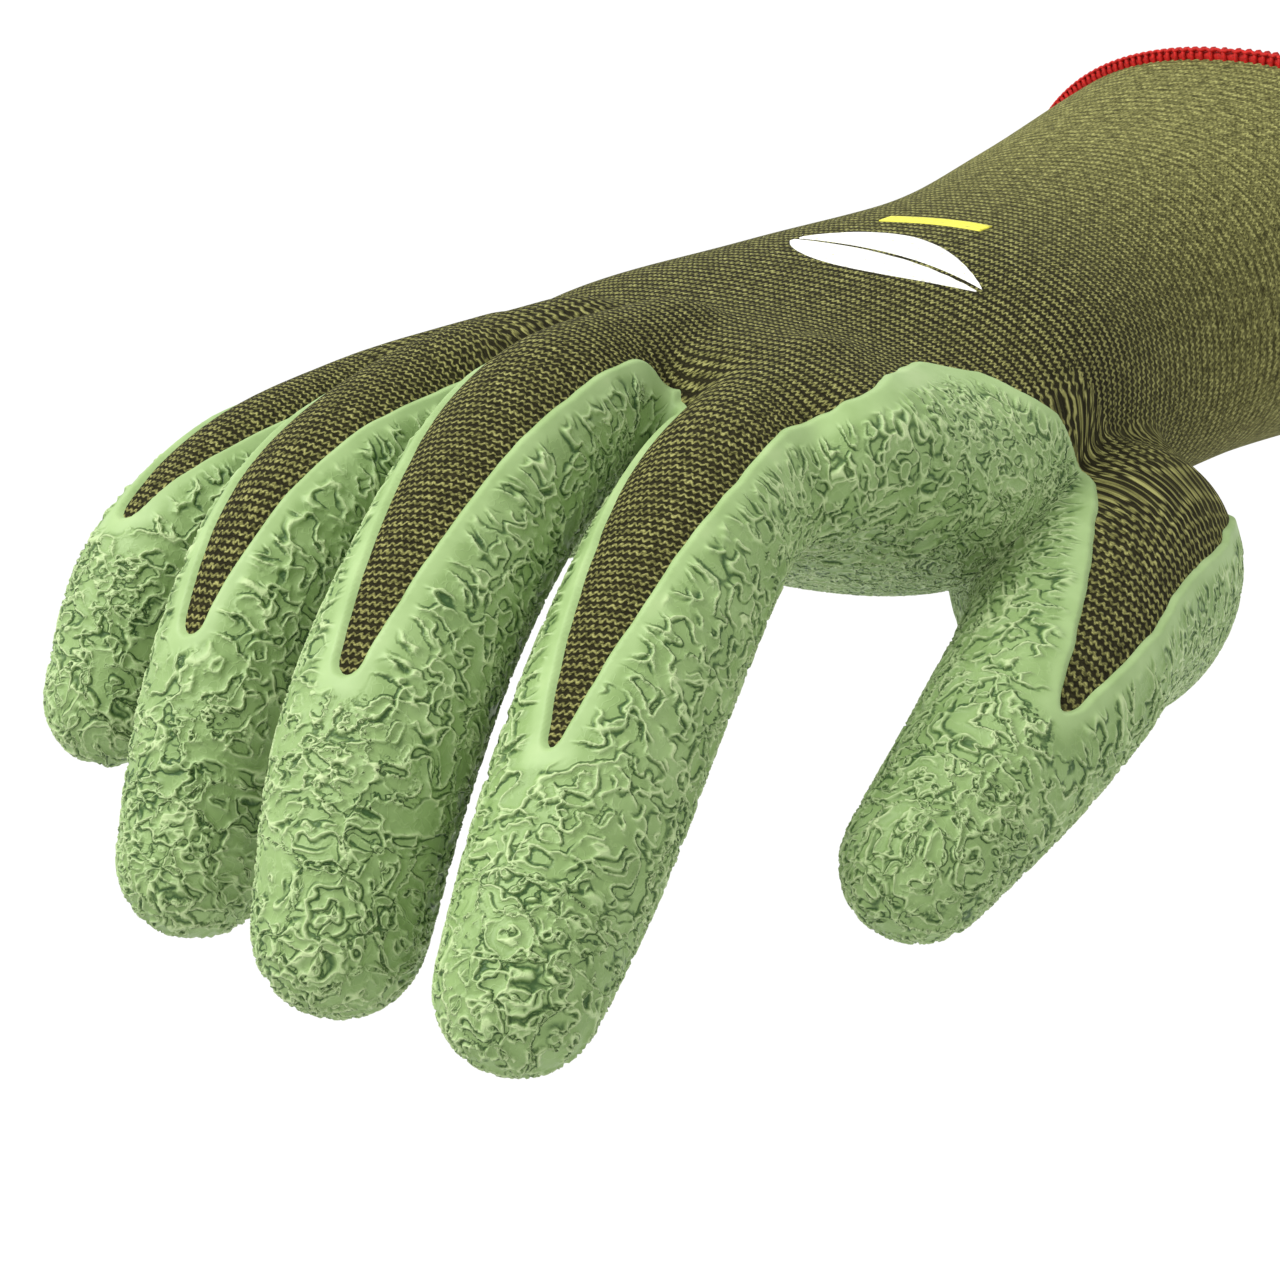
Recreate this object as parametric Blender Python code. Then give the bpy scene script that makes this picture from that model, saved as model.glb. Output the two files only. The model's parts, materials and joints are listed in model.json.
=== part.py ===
"""A palm-dipped knitted gardening glove for the right hand, in the relaxed shape of a hand.

The seamless knitted liner and its latex coat are split at the flex lines, so that each zone that
moves is a body of its own. Metres, +Z is the back of the hand, the fingers point to -Y, the thumb
is on the +X side and the origin is the centre of the cuff opening.
"""
import math

import bmesh
import bpy
from mathutils import Vector

MM = 0.001

# Driving dimensions, in millimetres and degrees.
KNIT = 1.0  # thickness of the knitted liner
LATEX = 0.9  # thickness of the dipped coat
GAP = 0.3  # clearance between separate pieces
CREASE_GAP = 0.5  # clearance at each end of a crease
HINGE_GAP = 1.2  # half the fabric left for the crease beside a flex line's axis
SIDES = 16  # sides of a finger
HAND_SIDES = 24  # sides of the hand and the cuff
BOXY = 2.4  # power of the hand's squared-off oval, where 2 is an ellipse
LATEX_HALF_ARC = 125.0  # how far the coat climbs each side of a finger, from the palm side
HEM_LENGTH = 4.0
HEM_PROUD = 1.0
ELASTIC_RADIUS = 0.4
ELASTIC_START = -5.5
ELASTIC_PITCH = 5.0
ELASTIC_TURNS = 4

# How far each flex line bends from rest: (towards the back, towards the palm).
WRIST_RANGE = (35.0, 35.0)
ROOT_RANGE = (30.0, 40.0)
MIDDLE_RANGE = (20.0, 50.0)
TIP_RANGE = (14.0, 35.0)
THUMB_RANGE = (15.0, 25.0)
THUMB_TIP_RANGE = (15.0, 40.0)

# Sections of cuff and hand: (y, centre x, centre z, half width, half height).
CUFF_SECTIONS = [
    (0.0, 1.0, 4.0, 36.5, 27.0),
    (-28.0, 0.5, 1.0, 34.5, 23.8),
    (-56.0, 0.5, -1.5, 33.0, 21.6),
]
HAND_SECTIONS = [
    (-56.0, 0.5, -1.5, 33.0, 21.6),
    (-80.0, 0.0, -1.0, 39.0, 18.8),
    (-105.0, 1.0, -3.0, 43.0, 18.2),
    (-125.0, 0.5, -1.5, 43.0, 15.0),
    (-135.0, -1.0, -0.5, 42.0, 12.4),
]
HAND_END_SLOPE = 0.12  # the little finger's side of the hand ends further back

# A digit: the knuckle inside the hand, its root, the way it points (yaw, pitch, roll), its bends
# at the next flex lines, the lengths from flex line to flex line, and the radii there.
DIGITS = {
    "index": ((24.0, -122.0, 3.0), (30.5, -146.5, -2.0), (15.5, 32.5, 0.0),
              (9.0, 0.5), (27.3, 23.2, 17.9), (11.0, 11.4, 10.9, 9.2)),
    "middle": ((3.0, -124.0, 6.0), (6.5, -149.5, 5.4), (15.0, 26.0, 0.0),
               (17.5, 17.0), (29.4, 25.4, 18.0), (11.2, 11.1, 11.1, 9.7)),
    "ring": ((-15.0, -122.0, 5.0), (-16.4, -147.2, 3.0), (5.5, 19.5, 0.0),
             (31.0, 16.5), (27.4, 23.2, 17.7), (10.8, 10.4, 9.8, 9.1)),
    "little": ((-33.0, -116.0, 1.5), (-37.6, -139.5, -1.0), (-3.5, 10.5, 0.0),
               (22.0, 28.5), (20.7, 17.5, 15.3), (9.9, 9.3, 9.0, 8.2)),
    "thumb": ((32.0, -77.0, -20.0), (48.8, -103.5, -25.7), (17.2, 15.8, 54.0),
              (11.4,), (28.2, 19.7), (13.4, 11.2, 8.9)),
}
THUMB_HEEL = ((24.0, -68.0, -9.0), 7.0)  # where the ball of the thumb starts, and its radius
THUMB_BALL_RADIUS = 17.5
RANGES = {
    "finger": (ROOT_RANGE, MIDDLE_RANGE, TIP_RANGE),
    "thumb": (THUMB_RANGE, THUMB_TIP_RANGE),
}
SEGMENT_NAMES = {"finger": ("base", "middle", "tip"), "thumb": ("base", "tip")}

PALM_COAT_START = -68.0  # where the palm's coat begins, short of the wrist
PALM_COAT_TOP = 1.0  # how high it climbs the sides of the hand
EMBLEM = ((-6.0, 26.0), (-99.0, -79.0))  # x and y range of the print on the back of the hand
SIZE_MARK = ((-6.0, 12.0), (-75.0, -71.0))
PRINT_THICKNESS = 0.3
HOLLOW_REACH = 14.0  # how far the solids that hollow out the hand run past its cut ends


def material(name, colour, roughness):
    """A matt material of one colour."""
    made = bpy.data.materials.new(name)
    made.use_nodes = True
    shader = made.node_tree.nodes["Principled BSDF"]
    shader.inputs["Base Color"].default_value = (*colour, 1.0)
    shader.inputs["Roughness"].default_value = roughness
    shader.inputs["Metallic"].default_value = 0.0
    return made


def add_object(name, mesh_maker, finish=None):
    """One closed body from a bmesh, with its normals turned outwards."""
    bmesh.ops.recalc_face_normals(mesh_maker, faces=mesh_maker.faces)
    mesh = bpy.data.meshes.new(name)
    mesh_maker.to_mesh(mesh)
    mesh_maker.free()
    made = bpy.data.objects.new(name, mesh)
    bpy.context.collection.objects.link(made)
    if finish:
        mesh.materials.append(finish)
        mesh.shade_smooth()
        mesh.set_sharp_from_angle(angle=math.radians(35))
    return made


def skin(maker, rings, closed_round):
    """Joins a row of rings, each a list of points, with quads. Returns the rings' vertices."""
    rows = [[maker.verts.new(point * MM) for point in ring] for ring in rings]
    count = len(rings[0])
    for low, high in zip(rows, rows[1:]):
        for i in range(count if closed_round else count - 1):
            j = (i + 1) % count
            maker.faces.new((low[i], low[j], high[j], high[i]))
    return rows


def join_rows(maker, first, second, closed_round):
    """A strip of quads between two rows of vertices."""
    count = len(first)
    for i in range(count if closed_round else count - 1):
        j = (i + 1) % count
        maker.faces.new((first[i], first[j], second[j], second[i]))


def fan(maker, ring, centre):
    """Closes a ring with triangles around a point."""
    hub = maker.verts.new(centre * MM)
    for i, corner in enumerate(ring):
        maker.faces.new((corner, ring[(i + 1) % len(ring)], hub))


def tube(name, outer, inner, finish, tips=None):
    """A wall between two skins of rings. With tips, its far end is closed at those two points."""
    maker = bmesh.new()
    outside = skin(maker, outer, True)
    inside = skin(maker, inner, True)
    join_rows(maker, outside[0], inside[0], True)
    if tips:
        fan(maker, outside[-1], tips[0])
        fan(maker, inside[-1], tips[1])
    else:
        join_rows(maker, outside[-1], inside[-1], True)
    return add_object(name, maker, finish)


def half_tube(name, outer, inner, finish):
    """A wall between two skins of rings that don't go all the way round."""
    maker = bmesh.new()
    outside = skin(maker, outer, False)
    inside = skin(maker, inner, False)
    join_rows(maker, outside[0], inside[0], False)
    join_rows(maker, outside[-1], inside[-1], False)
    for end in (0, -1):
        join_rows(maker, [row[end] for row in outside], [row[end] for row in inside], False)
    return add_object(name, maker, finish)


def solid(name, rings, start, end):
    """A closed solid through a row of rings, used to build the hand."""
    maker = bmesh.new()
    rows = skin(maker, rings, True)
    fan(maker, rows[0], start)
    fan(maker, rows[-1], end)
    return add_object(name, maker)


def oval(centre, side, up, half_width, half_height, count, power=2.0, arc=None):
    """Points of a squared-off oval around a centre, or of a part of it about the palm side."""
    points = []
    for i in range(count + (1 if arc else 0)):
        turn = math.radians(-90.0 - arc + 2 * arc * i / count) if arc else 2 * math.pi * i / count
        c = math.cos(turn)
        s = math.sin(turn)
        x = math.copysign(abs(c) ** (2 / power), c) * half_width
        z = math.copysign(abs(s) ** (2 / power), s) * half_height
        points.append(centre + side * x + up * z)
    return points


def cut_ring(ring, joint, along, plane, limits, ahead):
    """Moves a ring's points along their tube to a flex line.

    They go to the plane that halves the bend at the joint, and then back from it by a V whose two
    slopes leave room for half of each limit. ahead is 1 at a tube's start and -1 at its end.
    """
    back_slope = math.tan(math.radians(limits[0] / 2))
    palm_slope = math.tan(math.radians(limits[1] / 2))
    normal, up = plane
    moved = []
    for point in ring:
        offset = point - joint
        to_plane = -offset.dot(normal) / along.dot(normal)
        height = offset.dot(up)
        room = height * back_slope if height > 0 else -height * palm_slope
        moved.append(point + along * (to_plane + ahead * (room + HINGE_GAP)))
    return moved


def direction(yaw, pitch):
    """The way a digit points, from straight ahead turned to the side and then down."""
    yaw = math.radians(yaw)
    pitch = math.radians(pitch)
    return Vector((math.sin(yaw) * math.cos(pitch), -math.cos(yaw) * math.cos(pitch),
                   -math.sin(pitch)))


class Digit:
    """A finger or thumb: its flex lines, directions and cross-sections."""

    def __init__(self, name, knuckle, root, pointing, bends, lengths, radii):
        yaw, pitch, roll = pointing
        self.name = name
        self.kind = "thumb" if name == "thumb" else "finger"
        self.knuckle = Vector(knuckle)
        self.lengths = lengths
        self.radii = radii
        self.limits = RANGES[self.kind]
        first = direction(yaw, pitch)
        level = Vector((math.cos(math.radians(yaw)), math.sin(math.radians(yaw)), 0.0))
        roll = math.radians(roll)
        self.axis = level * math.cos(roll) - first.cross(level) * math.sin(roll)
        self.joints = [Vector(root)]
        self.along = [first]
        for bend in bends:
            self.joints.append(self.joints[-1] + self.along[-1] * lengths[len(self.along) - 1])
            self.along.append(self.turned(self.along[-1], bend))
        self.stub = (self.joints[0] - self.knuckle).normalized()
        self.tip = self.joints[-1] + self.along[-1] * lengths[-1]

    def turned(self, vector, degrees):
        """A vector square to the flex axis, turned about it."""
        angle = math.radians(degrees)
        return vector * math.cos(angle) + self.axis.cross(vector) * math.sin(angle)

    def frame(self, along):
        """Side and back directions of a section square to the digit."""
        up = along.cross(self.axis).normalized()
        side = up.cross(along).normalized()
        return side, up

    def plane(self, index):
        """The plane that halves the bend at a flex line, and its back direction."""
        before = self.along[index - 1] if index else self.stub
        normal = (before + self.along[index]).normalized()
        return normal, normal.cross(self.axis).normalized()

    def ring(self, index, end, less, arc=None):
        """The section at the start or end of a segment, inset by less, cut for its flex line."""
        along = self.along[index]
        side, up = self.frame(along)
        at = index + 1 if end else index
        radius = self.radii[at] - less
        joint = self.joints[at]
        plain = oval(joint, side, up, radius, radius, SIDES, arc=arc)
        limits = self.limits[at]
        return cut_ring(plain, joint, along, self.plane(at), limits, -1 if end else 1)

    def stub_ring(self, less):
        """The section where the hand ends and the digit begins."""
        side, up = self.frame(self.stub)
        radius = self.radii[0] - less
        plain = oval(self.joints[0], side, up, radius, radius, SIDES)
        return cut_ring(plain, self.joints[0], self.stub, self.plane(0), self.limits[0], -1)

    def end_rings(self, less):
        """The rings of the rounded tip, and its last point."""
        along = self.along[-1]
        side, up = self.frame(along)
        radius = self.radii[-1] - less
        rings = []
        for lift in (0.0, 25.0, 50.0, 72.0):
            reach = math.radians(lift)
            wide = radius * math.cos(reach)
            rings.append(oval(self.tip + along * radius * math.sin(reach), side, up, wide, wide,
                              SIDES))
        return rings, self.tip + along * radius


def hand_ring(section, less, slope=0.0):
    """One section across the cuff or the hand."""
    y, x, z, half_width, half_height = section
    centre = Vector((x, y, z))
    side = Vector((1.0, -slope, 0.0))
    return oval(centre, side, Vector((0, 0, 1)), half_width - less, half_height - less,
                HAND_SIDES, BOXY)


def wrist_joint():
    """The wrist's flex line."""
    y, x, z = CUFF_SECTIONS[-1][:3]
    return Vector((x, y, z))


def wrist_cut(ring, ahead):
    """A wrist section cut for the wrist's flex line."""
    plane = (Vector((0, -1, 0)), Vector((0, 0, 1)))
    return cut_ring(ring, wrist_joint(), Vector((0, -1, 0)), plane, WRIST_RANGE, ahead)


def shifted(ring, along, distance):
    """A ring moved along a direction."""
    return [point + along * distance for point in ring]


def cuff(knit, thread, rubber):
    """The cuff: a knitted tube, the overlocked hem on its edge and the elastic inside it."""
    def rings(less):
        start = CUFF_SECTIONS[0]
        mouth = shifted(hand_ring(start, less), Vector((0, -1, 0)), 1.0 + GAP)
        return [mouth, hand_ring(CUFF_SECTIONS[1], less),
                wrist_cut(hand_ring(CUFF_SECTIONS[2], less), -1)]

    outside = LATEX + GAP
    tube("cuff_knit", rings(outside), rings(outside + KNIT), knit)
    edge = CUFF_SECTIONS[0]
    back = Vector((0, -1, 0))
    profile = [(outside - HEM_PROUD, 0.0), (outside - HEM_PROUD, HEM_LENGTH),
               (outside - GAP, HEM_LENGTH), (outside - GAP, 1.0), (outside + KNIT, 1.0),
               (outside + KNIT, 0.0)]
    maker = bmesh.new()
    rows = skin(maker, [shifted(hand_ring(edge, less), back, reach) for less, reach in profile],
                True)
    join_rows(maker, rows[-1], rows[0], True)
    add_object("cuff_hem", maker, thread)

    less = outside + KNIT + 2 * GAP + ELASTIC_RADIUS
    path = []
    steps = ELASTIC_TURNS * HAND_SIDES
    for i in range(steps + 1):
        y = ELASTIC_START - ELASTIC_PITCH * i / HAND_SIDES
        share = y / CUFF_SECTIONS[1][0]
        section = [a + (b - a) * share for a, b in zip(*CUFF_SECTIONS[:2])]
        path.append(hand_ring(section, less)[i % HAND_SIDES])
    curve = bpy.data.curves.new("cuff_elastic", "CURVE")
    curve.dimensions = "3D"
    curve.bevel_depth = ELASTIC_RADIUS * MM
    curve.bevel_resolution = 0
    curve.use_fill_caps = True
    spline = curve.splines.new("POLY")
    spline.points.add(len(path) - 1)
    for point, place in zip(spline.points, path):
        point.co = (*(place * MM), 1.0)
    curve.materials.append(rubber)
    bpy.context.collection.objects.link(bpy.data.objects.new("cuff_elastic", curve))


def crease(name, low, high, joint_rings, finish):
    """The short sleeve of fabric that folds at a flex line, between two cut ends."""
    outer = [low[0], joint_rings[0], high[0]]
    inner = [low[1], joint_rings[1], high[1]]
    tube(name, outer, inner, finish)


def wrist_crease(knit):
    """The fabric that folds at the wrist."""
    outside = LATEX + GAP
    walls = [hand_ring(CUFF_SECTIONS[2], less) for less in (outside, outside + KNIT)]
    back = Vector((0, -1, 0))
    low = [shifted(wrist_cut(ring, -1), back, CREASE_GAP) for ring in walls]
    high = [shifted(wrist_cut(ring, 1), back, -CREASE_GAP) for ring in walls]
    crease("wrist_crease", low, high, walls, knit)


def hand_solids(label, less, digits, reach):
    """The hand as closed solids: the palm and a stub for each digit, inset by less.

    reach runs their open ends past the cut ends, for the solids that hollow the others out.
    """
    back = Vector((0, -1, 0))
    first = hand_ring(HAND_SECTIONS[0], less)
    rings = [wrist_cut(first, 1)]
    hub = wrist_joint() + back * HINGE_GAP
    if reach:
        rings.insert(0, shifted(first, back, -reach))
        hub = wrist_joint() - back * reach
    rings += [hand_ring(section, less) for section in HAND_SECTIONS[1:-1]]
    end = HAND_SECTIONS[-1]
    rings.append(shifted(hand_ring(end, less, HAND_END_SLOPE), back, -less))
    made = [solid(label + "_palm", rings, hub, Vector((end[1], end[0] + less, end[2])))]
    for digit in digits:
        side, up = digit.frame(digit.stub)
        wide = digit.radii[0] - less
        hub = digit.knuckle
        if digit.kind == "thumb":
            hub = Vector(THUMB_HEEL[0])
            heel = THUMB_HEEL[1] - less
            ball = THUMB_BALL_RADIUS - less
            rings = [oval(hub, side, up, heel, heel, SIDES),
                     oval(digit.knuckle, side, up, ball, ball, SIDES)]
        else:
            rings = [oval(hub, side, up, wide, wide, SIDES)]
        rings.append(digit.stub_ring(less))
        end_hub = digit.joints[0] - digit.stub * HINGE_GAP
        if reach:
            end_hub = digit.joints[0] + digit.stub * reach
            rings.append(oval(end_hub, side, up, wide, wide, SIDES))
        made.append(solid(label + "_" + digit.name, rings, hub, end_hub))
    return made


def boolean(target, operand, operation):
    """Adds or cuts one solid, which itself stays hidden."""
    step = target.modifiers.new(operand.name, "BOOLEAN")
    step.operation = operation
    step.solver = "EXACT"
    step.object = operand
    operand.hide_render = True
    operand.display_type = "WIRE"


def block(name, low, high):
    """A box between two corners, for cutting."""
    maker = bmesh.new()
    bmesh.ops.create_cube(maker, size=1.0)
    for vert in maker.verts:
        for k in range(3):
            vert.co[k] = (low[k] if vert.co[k] < 0 else high[k]) * MM
    return add_object(name, maker)


def hand_shell(name, less, wall, digits, finish, cuts=()):
    """The hand as a thin shell: its solids joined, less any cuts and the same solids inset."""
    joined = []
    for label, inset, reach in (("outside", less, 0.0), ("inside", less + wall, HOLLOW_REACH)):
        whole, *stubs = hand_solids(f"{name}_{label}", inset, digits, reach)
        for part in stubs:
            boolean(whole, part, "UNION")
        joined.append(whole)
    shell, hollow = joined
    for cutter in (*cuts, hollow):
        boolean(shell, cutter, "DIFFERENCE")
    shell.name = name
    shell.data.materials.append(finish)


def hand(digits, knit, latex):
    """The hand's liner, and the coat on its palm."""
    hand_shell("hand_liner", LATEX + GAP, KNIT, digits, knit)
    cuts = (block("cut_back", (-80, -200, PALM_COAT_TOP), (80, 20, 60)),
            block("cut_wrist", (-80, PALM_COAT_START, -80), (80, 20, 60)))
    hand_shell("palm_latex", 0.0, LATEX, digits, latex, cuts)


def hand_top(x, y):
    """Height of the liner's back at a place, from the hand's sections."""
    sections = HAND_SECTIONS
    for near, far in zip(sections, sections[1:]):
        if far[0] <= y <= near[0]:
            share = (y - near[0]) / (far[0] - near[0])
            at = [a + (b - a) * share for a, b in zip(near, far)]
    across = min(1.0, abs(x - at[1]) / (at[3] - LATEX - GAP))
    return at[2] + (at[4] - LATEX - GAP) * (1 - across ** BOXY) ** (1 / BOXY)


def print_patch(name, span, finish):
    """A printed film that lies on the back of the hand."""
    (x0, x1), (y0, y1) = span
    columns = 6
    lift = 2 * GAP
    rows = []
    for y in (y0, (y0 + y1) / 2, y1):
        rows.append([Vector((x0 + (x1 - x0) * i / columns, y, 0)) for i in range(columns + 1)])
    maker = bmesh.new()
    skins = []
    for thick in (lift + PRINT_THICKNESS, lift):
        level = [[Vector((p.x, p.y, hand_top(p.x, p.y) + thick)) for p in row] for row in rows]
        skins.append(skin(maker, level, False))
    top, bottom = skins
    for end in (0, -1):
        join_rows(maker, top[end], bottom[end], False)
        join_rows(maker, [row[end] for row in top], [row[end] for row in bottom], False)
    add_object(name, maker, finish)


def digit_parts(digit, knit, latex):
    """A digit's knitted segments, the coat on each, and its creases."""
    outside = LATEX + GAP
    names = SEGMENT_NAMES[digit.kind]
    for k, part in enumerate(names):
        label = digit.name + "_" + part
        last = k == len(names) - 1
        walls = (outside, outside + KNIT)
        if last:
            ends = [digit.end_rings(less) for less in walls]
            rings = [[digit.ring(k, False, less), *end[0]] for less, end in zip(walls, ends)]
            tube(label + "_knit", *rings, knit, [end[1] for end in ends])
            coats = (0.0, LATEX)
            ends = [digit.end_rings(less) for less in coats]
            rings = [[digit.ring(k, False, less), *end[0]] for less, end in zip(coats, ends)]
            tube(label + "_latex", *rings, latex, [end[1] for end in ends])
        else:
            rings = [[digit.ring(k, False, less), digit.ring(k, True, less)] for less in walls]
            tube(label + "_knit", *rings, knit)
            arc = LATEX_HALF_ARC
            rings = [[digit.ring(k, False, less, arc), digit.ring(k, True, less, arc)]
                     for less in (0.0, LATEX)]
            half_tube(label + "_latex", *rings, latex)
        digit_crease(digit, k, label + "_crease", latex)


def digit_crease(digit, k, name, finish):
    """The fabric that folds at a digit's flex line, at the near end of a segment."""
    before = digit.along[k - 1] if k else digit.stub
    walls = (0.0, LATEX + GAP + KNIT)
    low = []
    high = []
    middle = []
    for less in walls:
        near = digit.stub_ring(less) if k == 0 else digit.ring(k - 1, True, less)
        far = digit.ring(k, False, less)
        low.append(shifted(near, before, CREASE_GAP))
        high.append(shifted(far, digit.along[k], -CREASE_GAP))
        middle.append([(a + b) / 2 for a, b in zip(low[-1], high[-1])])
    crease(name, low, high, middle, finish)


def build():
    """Clears the scene and builds the glove."""
    for old in list(bpy.data.objects):
        bpy.data.objects.remove(old, do_unlink=True)
    knit = material("knit_olive", (0.14, 0.12, 0.055), 0.95)
    latex = material("latex_green", (0.27, 0.48, 0.17), 0.6)
    thread = material("thread_red", (0.68, 0.03, 0.02), 0.8)
    rubber = material("elastic_rubber", (0.75, 0.72, 0.62), 0.7)
    white = material("print_white", (0.85, 0.86, 0.84), 0.6)
    yellow = material("print_yellow", (0.66, 0.68, 0.06), 0.6)
    digits = [Digit(name, *values) for name, values in DIGITS.items()]
    cuff(knit, thread, rubber)
    wrist_crease(knit)
    hand(digits, knit, latex)
    print_patch("back_emblem", EMBLEM, white)
    print_patch("size_mark", SIZE_MARK, yellow)
    for digit in digits:
        digit_parts(digit, knit, latex)


build()
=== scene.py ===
import json
import math

import bpy
import numpy as np
from mathutils import Matrix, Vector

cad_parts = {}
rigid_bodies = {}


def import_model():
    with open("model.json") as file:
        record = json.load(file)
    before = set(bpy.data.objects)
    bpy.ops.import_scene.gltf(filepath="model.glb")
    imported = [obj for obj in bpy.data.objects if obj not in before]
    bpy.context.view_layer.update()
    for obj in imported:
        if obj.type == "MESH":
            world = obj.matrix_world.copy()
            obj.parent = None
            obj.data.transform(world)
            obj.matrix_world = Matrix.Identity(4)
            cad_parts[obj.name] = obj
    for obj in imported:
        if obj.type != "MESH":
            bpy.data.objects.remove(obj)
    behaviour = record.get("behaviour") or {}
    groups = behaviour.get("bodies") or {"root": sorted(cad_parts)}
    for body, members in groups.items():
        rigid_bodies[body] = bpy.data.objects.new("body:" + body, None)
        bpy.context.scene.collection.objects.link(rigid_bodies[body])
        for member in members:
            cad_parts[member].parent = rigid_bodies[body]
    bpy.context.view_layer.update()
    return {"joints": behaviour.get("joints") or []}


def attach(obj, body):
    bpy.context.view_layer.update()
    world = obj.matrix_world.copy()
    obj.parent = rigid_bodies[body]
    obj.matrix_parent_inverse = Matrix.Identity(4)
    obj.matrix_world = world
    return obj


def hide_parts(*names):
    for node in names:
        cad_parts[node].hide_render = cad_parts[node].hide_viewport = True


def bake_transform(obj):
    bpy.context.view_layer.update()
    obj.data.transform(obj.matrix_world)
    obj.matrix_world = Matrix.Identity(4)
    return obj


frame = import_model()


# Studio: a glove held open over a pale floor, in even light from the sky and a large window.
# Nothing here is part of the glove. The camera looks down the fingers from the thumb's side.
CAMERA_AZIMUTH = 43.82
CAMERA_ELEVATION = 14.61
CAMERA_ROLL = -3.54
CAMERA_DISTANCE = 0.49985
CAMERA_TARGET = (0.01299, -0.14263, -0.02158)
CAMERA_LENS = 116.26
CAMERA_SENSOR = 36.0
CAMERA_CLIP = 0.01
FLOOR_HEIGHT = -0.32
FLOOR_SIDE = 40.0
PAPER_WHITE = "#cccccc"
SKY_WHITE = "#ffffff"
SKY_STRENGTH = 0.95
# a lamp as large as a bright window, far off: its side, height, strength and how wide it is across in degrees
WINDOW_AZIMUTH = -35.0
WINDOW_ELEVATION = 52.0
WINDOW_STRENGTH = 3.0
WINDOW_SPREAD = 40.0
WINDOW_DISTANCE = 2.0


def linear(code):
    """A hex colour as four linear numbers: each channel c becomes ((c + 0.055) / 1.055) ^ 2.4."""
    parts = [int(code[i:i + 2], 16) / 255 for i in (1, 3, 5)]
    return tuple(p / 12.92 if p <= 0.04045 else ((p + 0.055) / 1.055) ** 2.4 for p in parts) + (1.0,)


def view_axes(azimuth, elevation, roll=0.0):
    """Right, up and back of something that looks at its target from that side, rolled about its view."""
    a, e, r = (math.radians(v) for v in (azimuth, elevation, roll))
    back = Vector((math.sin(a) * math.cos(e), -math.cos(a) * math.cos(e), math.sin(e)))
    level = Vector((math.cos(a), math.sin(a), 0.0))
    rise = back.cross(level)
    right = level * math.cos(r) + rise * math.sin(r)
    return right, back.cross(right), back


def aim(thing, target, distance, axes):
    """Puts a camera or a lamp at a distance from its target, along its own back axis."""
    turn = Matrix(axes).transposed().to_4x4()
    thing.matrix_world = Matrix.Translation(Vector(target) + axes[2] * distance) @ turn
    bpy.context.collection.objects.link(thing)


def add_node(tree, kind, links=(), **settings):
    """A node with its settings. A link is an input's name or number, and a value or another node's output."""
    node = tree.nodes.new(kind)
    for name, value in settings.items():
        setattr(node, name, value)
    for name, value in links:
        if isinstance(value, bpy.types.NodeSocket):
            tree.links.new(value, node.inputs[name])
        else:
            node.inputs[name].default_value = value
    return node


def start_material(name):
    """A material with an empty tree."""
    material = bpy.data.materials.new(name)
    material.use_nodes = True
    material.node_tree.nodes.clear()
    return material, material.node_tree


def end_material(tree, links):
    """The Principled shader and the output that every tree ends with."""
    shader = add_node(tree, "ShaderNodeBsdfPrincipled", links)
    add_node(tree, "ShaderNodeOutputMaterial", [("Surface", shader.outputs["BSDF"])])


camera = bpy.data.objects.new("camera", bpy.data.cameras.new("camera"))
camera.data.lens = CAMERA_LENS
camera.data.sensor_width = CAMERA_SENSOR
camera.data.clip_start = CAMERA_CLIP
aim(camera, CAMERA_TARGET, CAMERA_DISTANCE, view_axes(CAMERA_AZIMUTH, CAMERA_ELEVATION, CAMERA_ROLL))
bpy.context.scene.camera = camera
bpy.context.scene.view_settings.view_transform = "Standard"

window = bpy.data.objects.new("window_lamp", bpy.data.lights.new("window_lamp", "SUN"))
window.data.energy = WINDOW_STRENGTH
window.data.angle = math.radians(WINDOW_SPREAD)
aim(window, CAMERA_TARGET, WINDOW_DISTANCE, view_axes(WINDOW_AZIMUTH, WINDOW_ELEVATION))

sky = bpy.data.worlds.new("sky")
sky.use_nodes = True
sky.node_tree.nodes["Background"].inputs["Color"].default_value = linear(SKY_WHITE)
sky.node_tree.nodes["Background"].inputs["Strength"].default_value = SKY_STRENGTH
bpy.context.scene.world = sky

paper, paper_tree = start_material("studio_paper")
end_material(paper_tree, [("Base Color", linear(PAPER_WHITE)), ("Roughness", 1.0)])
floor_mesh = bpy.data.meshes.new("floor")
half = FLOOR_SIDE / 2
floor_mesh.from_pydata([(-half, -half, FLOOR_HEIGHT), (half, -half, FLOOR_HEIGHT),
                        (half, half, FLOOR_HEIGHT), (-half, half, FLOOR_HEIGHT)], [], [(0, 1, 2, 3)])
floor_mesh.materials.append(paper)
floor = bpy.data.objects.new("floor", floor_mesh)
bpy.context.collection.objects.link(floor)


# Liner form: a seamless knitted hand, flared at the cuff and drawn in at the wrist, as a relaxed hand fills it.
# The machine knits it in one piece, so the whole hand is worked out as one skin, and cut up in the next part.
# Sizes are in millimetres, and a depth is measured from the cuff's edge.
MM = 0.001
LATEX_DEPTH = 0.7
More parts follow.
